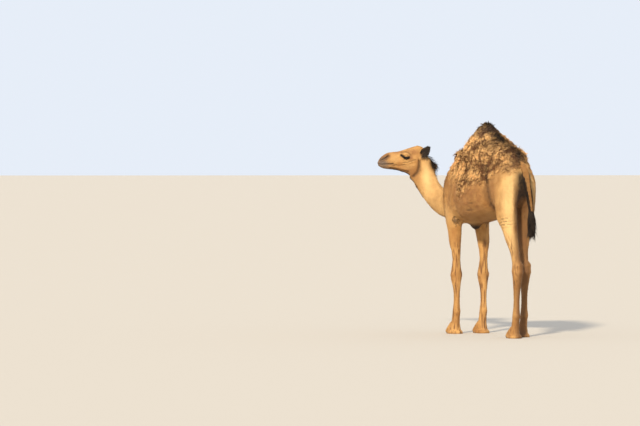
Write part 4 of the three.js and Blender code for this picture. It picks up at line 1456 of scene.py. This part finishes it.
# %% The short coat
def short_piece(name, chosen, spacing, chart, length, width, lift=0.14, gather=0.15, uneven=0.18):
    """Thin flat tufts where the wool ends and chosen(points) says. They lie close, so only the tips show."""
    def grows(p):
        return chosen(p) * (1 - step(wool_amount(p), 0.45, 0.9)) * (1 - callus(p)) * (p[:, 2] > 0.03)
    roots, normals = scatter(spacing, grows)
    _, _, up = body_measures(roots)
    vary = 0.70 + 0.6 * RANDOM.random(len(roots))
    rise = lift * (0.6 + 0.8 * RANDOM.random(len(roots)))
    vary = vary * (1 - 0.55 * gaskin_area(roots))
    if chart is not neck_chart:
        vary = vary * (0.38 + 0.24 * step(up, 0.12, 0.40) + 0.38 * step(up, 0.95, 1.45))
    piece = tuft_piece(name, HAIR_MATERIAL, roots, normals, chart, length * vary, width * vary, rise,
                       rise - 0.12, segments=2, gather=gather, clump=0.022, wander=0.20, tip_from=0.47,
                       tip_to=0.60, seed=11, uneven=uneven, thick=0.22, smooth=False, clear=0.25 * width)
    return keep(piece, "coat")


def face_part(points):
    """1 on the bare parts of the head, where no tuft grows: the eyes' openings, lips and nostrils."""
    back, _, side = head_measures(points)
    near_eye = (np.abs(side) > 0.05) * (np.abs(back - EYE_BACK) < 0.05)
    return most(step(-inside_eye(points), -0.006, -0.003) * near_eye,
                head_ridge(points, NOSTRIL, 0.005, 0.012),
                ridge_at_mouth(points, 0.004) * (back < 0.16))


def on_neck(points):
    """1 on the neck, up to the head."""
    _, ahead, _ = body_measures(points)
    return (ahead >= NECK_FROM) * (1 - head_mask(points))


def on_face(points):
    """1 on the hairy parts of the head, without the ears."""
    _, ahead, _ = body_measures(points)
    return (ahead >= 0.8) * head_mask(points) * (1 - ear_mask(points)) * (1 - face_part(points))


THIGH_FOOT, FLANK_FOOT, FLANK_BACK, NECK_FROM = 1.15, 1.05, -0.30, 0.62


def over_flank(ahead, up):
    """Whether a place lies above the flank's lower edge and ahead of the thigh."""
    return (up > FLANK_FOOT) & (ahead >= FLANK_BACK)


# Part, where it is, spacing, chart, length, width, lift, gather, uneven
SHORT_AREAS = (
    ("thigh", lambda ahead, up: (up > THIGH_FOOT) & (ahead < FLANK_BACK),
     0.0088, trunk_chart, 0.025, 0.0056, 0.15, 0.15, 0.28),
    ("flank", lambda ahead, up: over_flank(ahead, up) & (ahead < NECK_FROM),
     0.0095, trunk_chart, 0.027, 0.0060, 0.18, 0.35, 0.45),
    ("leg", lambda ahead, up: (up <= THIGH_FOOT) & (ahead < NECK_FROM) & ~over_flank(ahead, up),
     0.0096, leg_chart, 0.022, 0.0052, 0.17, 0.15, 0.35),
)
for word, way in SIDES:
    for part, rule, *measures in SHORT_AREAS:
        short_piece(f"{part}_coat_{word}", area(way, rule), *measures)
short_piece("neck_coat", on_neck, 0.0085, neck_chart, 0.021, 0.0046, 0.12, 0.15, 0.12)
short_piece("face_coat", on_face, 0.0055, neck_chart, 0.0090, 0.0022, 0.12)


# %% Mane, throat and ears
def long_piece(name, chosen, spacing, length, width, lift, droop, flow=None, **more):
    """Long dark tufts where chosen(points) says."""
    roots, normals = scatter(spacing, chosen)
    vary = 0.6 + 0.8 * RANDOM.random(len(roots))
    combed = None if flow is None else square_to(np.tile(flow, (len(roots), 1)), normals)
    piece = tuft_piece(name, HAIR_MATERIAL, roots, normals, neck_chart, length * vary, width, lift, droop,
                       flow=combed, tip_from=0.1, tip_to=0.5, **more)
    return keep(piece, "dark_hair")


def mane_amount(points):
    """1 along the top of the neck behind the head."""
    back, above, side = head_measures(points)
    mane = bell((side, 0.026), (back - 0.550, 0.055), (above - 0.015, 0.085)) * (back > 0.44)
    return np.clip(1.5 * mane, 0, 1)


def beard_amount(points):
    """1 under the jaw and along the front of the neck."""
    _, ahead, up = body_measures(points)
    return np.clip(1.5 * ridge(points, BEARD, 0.019), 0, 1) * step(up, 1.27, 1.42) * (ahead > 0.9)


long_piece("mane", mane_amount, 0.0062, 0.052, 0.0032, 1.05, 0.10, gather=0.75, clump=0.030, wander=0.25,
           darker=0.97, curl=0.06)
long_piece("beard", beard_amount, 0.0058, 0.024, 0.0030, 0.36, 0.0, gather=0.3, clump=0.03, segments=3)
long_piece("ear_fringe", ear_mask, 0.0046, 0.012, 0.0024, 0.22, -0.15,
           flow=-0.52 * HEAD_AHEAD + 0.85 * UP, segments=3, darker=1.0)

# %% [markdown]
# ## Eyes
# A camel's eye is large, dark and wet, half hidden by a heavy upper lid with long lashes. The ball is a
# sphere with a slightly raised cornea. The pupil lies level, as in all camels. The lids are rings of skin
# rolled round the eye's opening: a profile carried round an almond, resting on the ball inside and dipping
# under the face outside.

# %% Grids that close on themselves
def ring_faces(rows, columns, close_rows=False):
    """Four-cornered faces over rows of closed rings. With close_rows the last row joins the first."""
    i = np.arange(rows if close_rows else rows - 1)[:, None]
    j = np.arange(columns)[None]
    a, b = i * columns, ((i + 1) % rows) * columns
    k = (j + 1) % columns
    return np.stack([a + j, a + k, b + k, b + j], -1).reshape(-1, 4)


def closed_grid(name, rings, flip=False, joined=False):
    """A piece from an array of rings (rows, columns, 3). Both ends close on a middle point unless joined."""
    rows, columns = rings.shape[:2]
    points = rings.reshape(-1, 3)
    faces = ring_faces(rows, columns, joined)
    if not joined:
        first, last = len(points), len(points) + 1
        points = np.concatenate([points, rings[:1].mean(1), rings[-1:].mean(1)])
        j = np.arange(columns)
        k = (j + 1) % columns
        base = (rows - 1) * columns
        caps = [np.stack([np.full(columns, first), k, j], -1),
                np.stack([np.full(columns, last), base + j, base + k], -1)]
        faces = np.concatenate([faces[:, [0, 1, 2]], faces[:, [0, 2, 3]], *caps])
    return make_object(name, points, faces[:, ::-1] if flip else faces)


def skin_side(back, above, way):
    """How far out the skin lies at places of the head's profile: the mean of nearby points of the skin."""
    near = SKIN_HEAD[SKIN_HEAD[:, 2] * way > 0.04]
    away = (near[:, 0] - back[:, None]) ** 2 + (near[:, 1] - above[:, None]) ** 2
    weight = np.exp(-away / MEAN_OVER ** 2) + 1e-12
    return (weight * np.abs(near[:, 2])).sum(1) / weight.sum(1)


def skin_near_eye():
    """The points of the skin round both eyes, in the head's measures, without the pushed-in openings."""
    back, above, side = head_measures(skin_points)
    near = (np.abs(back - EYE_BACK) < 0.075) & (np.abs(above - EYE_UP) < 0.06) & (np.abs(side) > 0.03)
    return np.stack([back, above, side], -1)[near & (inside_eye(skin_points) > 0.003)]


MEAN_OVER = 0.0032
SKIN_HEAD = skin_near_eye()
print("skin points round the eyes", len(SKIN_HEAD))


# %% Lids
def spread_along(path, count):
    """So many points at even steps along a closed path."""
    closed = np.vstack([path, path[:1]])
    run = np.concatenate([[0], np.cumsum(np.linalg.norm(np.diff(closed, axis=0), axis=1))])
    at = np.linspace(0, run[-1], count, endpoint=False)
    return np.stack([np.interp(at, run, closed[:, k]) for k in range(2)], -1)


def smooth_ring(ring, rounds):
    """Moves each point of a closed path towards the mean of its two neighbours."""
    for _ in range(rounds):
        ring = 0.5 * ring + 0.25 * (np.roll(ring, 1, 0) + np.roll(ring, -1, 0))
    return ring


LID_AROUND = 96
OPENING = smooth_ring(spread_along(EYE_SHAPE, LID_AROUND), 4)
WAY_OUT = unit(OPENING - smooth_ring(OPENING, 400).mean(0))
# Distance outwards from the opening, height over the base, and the share of the skin in the base
LID_ROWS = [(-0.0015, -0.0030, 0), (0.0000, 0.0004, 0), (0.0008, 0.0018, 0), (0.0022, 0.0026, 0),
            (0.0042, 0.0024, 0.3), (0.0066, 0.0016, 0.7), (0.0092, 0.0, 1.0), (0.0115, -0.0035, 1.0),
            (0.0080, -0.0065, 1.0), (0.0030, -0.0070, 0.3)]
RIM_ROWS = 4
LID_OVER_BALL, LID_IN_SKIN = 0.001, 0.0025


def lids(way):
    """One ring of lid. Its base lies on the ball at the rim and on the skin outside."""
    upper = step(OPENING[:, 1], 0.0, 0.006)
    low_corners = 1 - 0.6 * step(np.abs(OPENING[:, 0]), 0.016, 0.027)
    rings = []
    for out, over, share in LID_ROWS:
        x, y = (OPENING + out * WAY_OUT * (1 + 0.25 * upper[:, None])).T
        skin_out, ball_out = skin_side(EYE_BACK + x, EYE_UP + y, way), ball_side(x, y)
        base = (1 - share) * np.maximum(ball_out, skin_out - LID_IN_SKIN)
        base += share * np.maximum(skin_out, ball_out + LID_OVER_BALL)
        height = over * low_corners * (1 + 0.35 * upper)
        rings.append(on_head(EYE_BACK + x, EYE_UP + y, way * (base + height)))
    return np.stack(rings)


for word, way in SIDES:
    lid = closed_grid(f"lids_{word}", lids(way), joined=True, flip=way < 0)
    corners = points_of(lid.data)
    store_markings(lid.data, corners)
    row = np.repeat(np.arange(len(LID_ROWS)), LID_AROUND)
    set_value(lid.data, "dark", np.clip(dark_amount(corners) + 0.9 * (row < RIM_ROWS), 0, 1))
    for key, value in (("tip", 0.5), ("shade", 0.5), ("on_legs", 0.0), ("on_head", 1.0)):
        set_value(lid.data, key, value)
    lid.data.materials.append(SKIN_MATERIAL)
    keep(lid, "coat")


# %% Eyeballs
BALL_AROUND, BALL_ROWS, BALL_START = 64, 40, 0.04
GAZE = (0.001, -0.003)


def eyeball(way):
    """Rings round the line of sight at the angle a: radius R sin a, height R cos a, and a raised cornea."""
    around = np.linspace(0, 2 * math.pi, BALL_AROUND, endpoint=False)[None]
    a = np.linspace(BALL_START, math.pi - BALL_START, BALL_ROWS)[:, None]
    size = EYE_RADIUS + 0.0014 * np.exp(-(a / 0.45) ** 2)
    x, y = size * np.sin(a) * np.cos(around), size * np.sin(a) * np.sin(around)
    return on_head(EYE_BACK + x, EYE_UP + y, way * (BALL_OUT + size * np.cos(a))), x, y


eye_material, tree, surface = new_material("wet eye", {"Roughness": 0.08, "Coat Weight": 1.0,
                                                       "Coat Roughness": 0.02})
gaze_x, gaze_y = value_of(tree, "gaze_x"), value_of(tree, "gaze_y")
spot = node(tree, "ShaderNodeCombineXYZ", {"X": gaze_x, "Y": gaze_y}).outputs[0]
streaks = texture(tree, spot, 900.0, 2.0)
radius = node(tree, "ShaderNodeVectorMath", {0: spot}, operation="LENGTH").outputs["Value"]
level = node(tree, "ShaderNodeVectorMath", {0: spot, 1: (1.0, 1.9, 1.0)}, operation="MULTIPLY").outputs[0]
slit = node(tree, "ShaderNodeVectorMath", {0: level}, operation="LENGTH").outputs["Value"]
iris = mixed(tree, streaks, (0.020, 0.009, 0.005, 1), (0.060, 0.028, 0.012, 1))
outer = mixed(tree, ramp(tree, radius, 0.0150, 0.0170), iris, (0.05, 0.035, 0.028, 1))
eye_colour = mixed(tree, ramp(tree, slit, 0.0095, 0.0082), outer, (0.003, 0.003, 0.004, 1))
tree.links.new(eye_colour, surface.inputs["Base Color"])

for word, way in SIDES:
    rings, x, y = eyeball(way)
    ball = closed_grid(f"eyeball_{word}", rings, flip=way > 0)
    for key, values, middle in (("gaze_x", x, GAZE[0]), ("gaze_y", y, GAZE[1])):
        set_value(ball.data, key, np.append(values - middle, [-middle, -middle]))
    ball.data.materials.append(eye_material)
    keep(ball, "eye")
    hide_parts(f"eye_{word}")


# %% Lashes
def lashes():
    """Roots along the upper and lower rims of both openings, with the direction in which each lash grows."""
    roots, ways, long = [], [], []
    x, y = (OPENING + 0.0012 * WAY_OUT).T
    upper = OPENING[:, 1] > 0.0015
    for way in (1, -1):
        skin_out = skin_side(EYE_BACK + x, EYE_UP + y, way)
        side = np.maximum(ball_side(x, y), skin_out - LID_IN_SKIN) + 0.0016
        for chosen, repeat, size, fall in ((upper, 5, 0.030, -0.62), (~upper, 1, 0.008, -0.9)):
            spots = np.repeat(np.flatnonzero(chosen), repeat)
            shift = RANDOM.normal(0, 0.0006, (len(spots), 2))
            back, up = EYE_BACK + x[spots] + shift[:, 0], EYE_UP + y[spots] + shift[:, 1]
            roots.append(on_head(back, up, way * side[spots]))
            sweep = -0.35 + 12 * OPENING[spots, 0] + RANDOM.normal(0, 0.15, len(spots))
            rise = fall + RANDOM.normal(0, 0.15, len(spots))
            ways.append(way * HEAD_LEFT - sweep[:, None] * HEAD_AHEAD + rise[:, None] * UP)
            long.append(size * (0.7 + 0.5 * RANDOM.random(len(spots))))
    return np.concatenate(roots), unit(np.concatenate(ways)), np.concatenate(long)


roots, ways, long = lashes()
over_lash = square_to(np.tile(UP, (len(roots), 1)), ways)
keep(tuft_piece("lashes", HAIR_MATERIAL, roots, over_lash, neck_chart, long, 0.0011, -0.15, 0.65, flow=ways,
                wander=0.05, tip_from=0.0, tip_to=0.2, darker=1.0, clump=0.01), "dark_hair")

# %% [markdown]
# ## Toenails
# A camel walks on two broad toes with a small dark nail at the front of each. Each nail is a curved shield:
# rings of a rounded box that narrow to the cuticle and are faintly grooved downwards.

# %% Toenails
horn_material, tree, surface = new_material("horn", {"Roughness": 0.42})
spot = node(tree, "ShaderNodeTexCoord").outputs["Object"]
drawn = node(tree, "ShaderNodeMapping", {"Vector": spot, "Scale": (900, 900, 60)}).outputs[0]
grooves = texture(tree, drawn, 1.0, 3.0)
horn_colour = mixed(tree, grooves, (0.035, 0.024, 0.017, 1), (0.16, 0.115, 0.075, 1))
tree.links.new(horn_colour, surface.inputs["Base Color"])
relief = node(tree, "ShaderNodeBump", {"Height": grooves, "Distance": 0.0008, "Strength": 0.6})
tree.links.new(relief.outputs["Normal"], surface.inputs["Normal"])
NAIL_AROUND, NAIL_ROWS = 40, 18
IN_SOLE, IN_CUTICLE = 0.010, 0.006


def rounded(value):
    """A sine or cosine made a little blunter, which turns an oval towards a box with round corners."""
    return np.sign(value) * np.abs(value) ** 0.8


def toenail(name):
    """A shield in the nail's own box: wide and forward below, small and back at the top, t being the share of
    the height."""
    low, high = (np.array(v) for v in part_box(name))
    middle, half = (low + high) / 2, (high - low) / 2
    around = np.linspace(0, 2 * math.pi, NAIL_AROUND, endpoint=False)[None]
    t = np.linspace(0, 1, NAIL_ROWS)[:, None]
    round_off = np.sqrt(np.clip(1 - np.abs(2 * t - 1) ** 5, 0.02, 1))
    wide = half[0] * (1.30 - 0.55 * t ** 1.6) * round_off
    deep = half[1] * (1.20 - 0.50 * t) * round_off
    groove = 1 + 0.012 * np.cos(14 * around)
    x = middle[0] + wide * rounded(np.cos(around)) * groove
    y = middle[1] - half[1] * (0.25 - 0.60 * t) - deep * rounded(np.sin(around)) * groove
    z = low[2] - IN_SOLE + (high[2] - low[2] + IN_SOLE + IN_CUTICLE) * t
    return np.stack(np.broadcast_arrays(x, y, z), -1)


for foot in ("fore_nail_left", "fore_nail_right", "hind_nail_left", "hind_nail_right"):
    for toe in ("inner", "outer"):
        nail = closed_grid(f"toe_{foot}_{toe}", toenail(f"{foot}_{toe}"), flip=True)
        nail.data.materials.append(horn_material)
        keep(nail, "horn")
        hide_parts(f"{foot}_{toe}")

# %% [markdown]
# ## Tail
# The tail is a bony dock that hangs from the rump, thin and bare of long hair at the top, with a fringe of
# dark hair down both edges and a black tassel. The dock is a round profile carried down a curve; the hair
# grows from it.

# %% The dock
# Height, how far left and behind its middle lies, and half its width
DOCK = np.array([
    (1.715, -0.005, 0.640, 0.026), (1.68, -0.005, 0.686, 0.032), (1.62, -0.0045, 0.7265, 0.030),
    (1.56, -0.0085, 0.743, 0.026), (1.50, -0.013, 0.757, 0.022), (1.44, -0.0185, 0.769, 0.0190),
    (1.38, -0.024, 0.777, 0.0175), (1.32, -0.0295, 0.7825, 0.016), (1.26, -0.034, 0.786, 0.015),
    (1.20, -0.037, 0.7885, 0.013), (1.14, -0.038, 0.790, 0.0105), (1.09, -0.0385, 0.7905, 0.006),
])
DOCK_FLAT = 0.85


def dock_at(height):
    """How far left and behind the dock's middle lies at a height, and half its width there."""
    return [np.interp(-height, -DOCK[:, 0], DOCK[:, k]) for k in (1, 2, 3)]


def dock(rows, columns):
    """Rings along the dock: an oval a little wider than deep, square to the fall of the tail."""
    z = np.linspace(DOCK[0, 0], DOCK[-1, 0], rows)[:, None]
    left, behind, wide = dock_at(z)
    around = np.linspace(0, 2 * math.pi, columns, endpoint=False)
    bumps = 1 + 0.05 * np.sin(z * 2 * math.pi / 0.035)
    x = left + wide * bumps * np.cos(around)
    y = -behind - DOCK_FLAT * wide * bumps * np.sin(around)
    return place(x, y, z + 0.25 * wide * np.sin(around))


tail = closed_grid("tail_dock", dock(90, 32), flip=True)
tail_points = points_of(tail.data)
tail_behind = normals_of(tail.data)[:, 1]
mark(tail.data, tail_points)
tail_dark = np.clip(1.15 - 1.3 * step(tail_behind, 0.45, 0.90), 0, 1) * step(-tail_points[:, 2], -1.70, -1.60)
for key, value in (("wool", 0.0), ("dark", tail_dark), ("pale", 0.0), ("brown", 0.75)):
    set_value(tail.data, key, value)
tail.data.materials.append(SKIN_MATERIAL)
keep(tail, "coat")
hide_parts("tail")


# %% Hair of the tail
def tail_chart(roots):
    """An unwrap of the tail: the angle round it, and the height."""
    left, ahead, up = body_measures(roots)
    middle_left, behind, _ = dock_at(up)
    return np.arctan2(left - middle_left, ahead + behind), up


def tail_hair(name, count, top, bottom, sideways, length, width, dark, spread, slot, lift):
    """Tufts from the dock between two heights, at angles round it about sideways, 0 being the back."""
    z = bottom + (top - bottom) * RANDOM.random(count)
    angle = sideways * np.where(RANDOM.random(count) < 0.5, 1, -1) + RANDOM.normal(0, spread, count)
    left, behind, wide = dock_at(z)
    below = z - 0.02
    next_left, next_behind, _ = dock_at(below)
    down = unit(place(next_left, -next_behind, below) - place(left, -behind, z))
    out = square_to(np.stack([np.sin(angle), np.cos(angle), 0 * angle], -1), down)
    roots = place(left, -behind, z) + 0.95 * wide[:, None] * out * [1, DOCK_FLAT, DOCK_FLAT]
    flow = square_to(down + RANDOM.normal(0, 0.05, (count, 3)), out)
    vary = 0.6 + 0.8 * RANDOM.random(count)
    piece = tuft_piece(name, HAIR_MATERIAL, roots, out, tail_chart, length * vary, width, lift, lift - 0.22,
                       curl=0.02, gather=0.15, clump=0.05, flow=flow, wander=0.10, tip_from=0.42, tip_to=0.60,
                       uneven=0.4)
    for key, value in (("wool", 0.0), ("pale", 0.0), ("brown", 0.55), ("dark", dark)):
        set_value(piece.data, key, value)
    return keep(piece, slot)


tail_hair("tail_fringe", 1700, 1.62, 1.12, 1.55, 0.085, 0.0042, 1.0, 0.26, "dark_hair", 0.18)
tail_hair("tail_back", 2000, 1.73, 1.12, 0.0, 0.042, 0.0045, 0.0, 0.55, "coat", 0.22)
tail_hair("tail_tassel", 1100, 1.27, 1.09, 1.5, 0.125, 0.0050, 1.0, 1.2, "dark_hair", 0.30)
tail_hair("tail_underside", 500, 1.60, 1.15, 3.1, 0.060, 0.0050, 1.0, 0.5, "dark_hair", 0.15)

# %% [markdown]
# ## Floor, light and camera
# A plain pale floor runs to the horizon. A warm sun with a soft edge stands behind the camera and to its
# left, so the face, flank and near legs are lit and the near hind leg shades the far one. The camera is far
# away with a long lens, at the height of a standing person's eyes.

# %% Floor and light
def sun(name, towards, strength, colour, softness):
    """A lamp as far away as the sun that shines from a direction. A wide angle makes its shadows soft."""
    lamp = bpy.data.lights.new(name, "SUN")
    lamp.energy, lamp.color, lamp.angle = strength, colour, math.radians(softness)
    holder = bpy.data.objects.new(name, lamp)
    holder.rotation_euler = Vector(towards).to_track_quat("Z", "Y").to_euler()
    bpy.context.scene.collection.objects.link(holder)
    return holder


FLOOR_HALF = 1500.0
corners = FLOOR_HALF * np.array([(-1, -1, 0), (1, -1, 0), (1, 1, 0), (-1, 1, 0)])
floor = make_object("floor", corners, [[0, 1, 2, 3]], smooth=False)
floor_paint = new_material("pale floor", {"Base Color": (0.56, 0.50, 0.42, 1), "Roughness": 0.9})[0]
floor.data.materials.append(floor_paint)

world = bpy.data.worlds.new("studio")
bpy.context.scene.world = world
world.use_nodes = True
sky = world.node_tree.nodes["Background"].inputs
sky["Color"].default_value = (0.82, 0.88, 0.97, 1)
sky["Strength"].default_value = 0.97

VIEW_FROM = unit(np.array([0.485, 0.875, 0.0]))
RIGHT_HAND = np.cross(-VIEW_FROM, UP)
TO_SUN = unit(VIEW_FROM - 0.27 * RIGHT_HAND + 0.62 * UP)
sun("key", TO_SUN, 4.2, (1.0, 0.89, 0.70), 5)
bpy.context.scene.view_settings.view_transform = "Standard"

# %% Camera
CAMERA_AWAY, CAMERA_UP = 35.0, 1.63
FOCAL_PIXELS, PICTURE_WIDE, SENSOR = 3500.0, 640.0, 36.0
BODY_AT_PIXEL, HORIZON_PIXEL, PICTURE_MIDDLE = 488.8, 172.0, (320.0, 213.0)
camera_data = bpy.data.cameras.new("camera")
camera_data.sensor_width = SENSOR
camera_data.lens = SENSOR * FOCAL_PIXELS / PICTURE_WIDE
camera_data.clip_end = 2 * FLOOR_HALF
camera = bpy.data.objects.new("camera", camera_data)
turn = math.atan((BODY_AT_PIXEL - PICTURE_MIDDLE[0]) / FOCAL_PIXELS)
tilt = math.atan((PICTURE_MIDDLE[1] - HORIZON_PIXEL) / FOCAL_PIXELS)
camera.location = place(0, 0, 0) + CAMERA_AWAY * VIEW_FROM + CAMERA_UP * UP
heading = Vector(-VIEW_FROM).to_track_quat("-Z", "Y").to_euler()
camera.rotation_euler = (math.pi / 2 - tilt, 0, heading.z + turn)
bpy.context.scene.collection.objects.link(camera)
bpy.context.scene.camera = camera
print("lens", round(camera_data.lens, 1), "turned", round(math.degrees(turn), 2), "degrees")

# %% Every piece rides on the one body
for piece in [skin, *coat_pieces]:
    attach(piece, "root")
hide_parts(*BODY_NODES, "head", "ear_left", "ear_right")
total = sum(len(p.data.polygons) for p in coat_pieces)
print("coat", len(coat_pieces), "pieces", total, "faces; skin", len(skin.data.polygons))
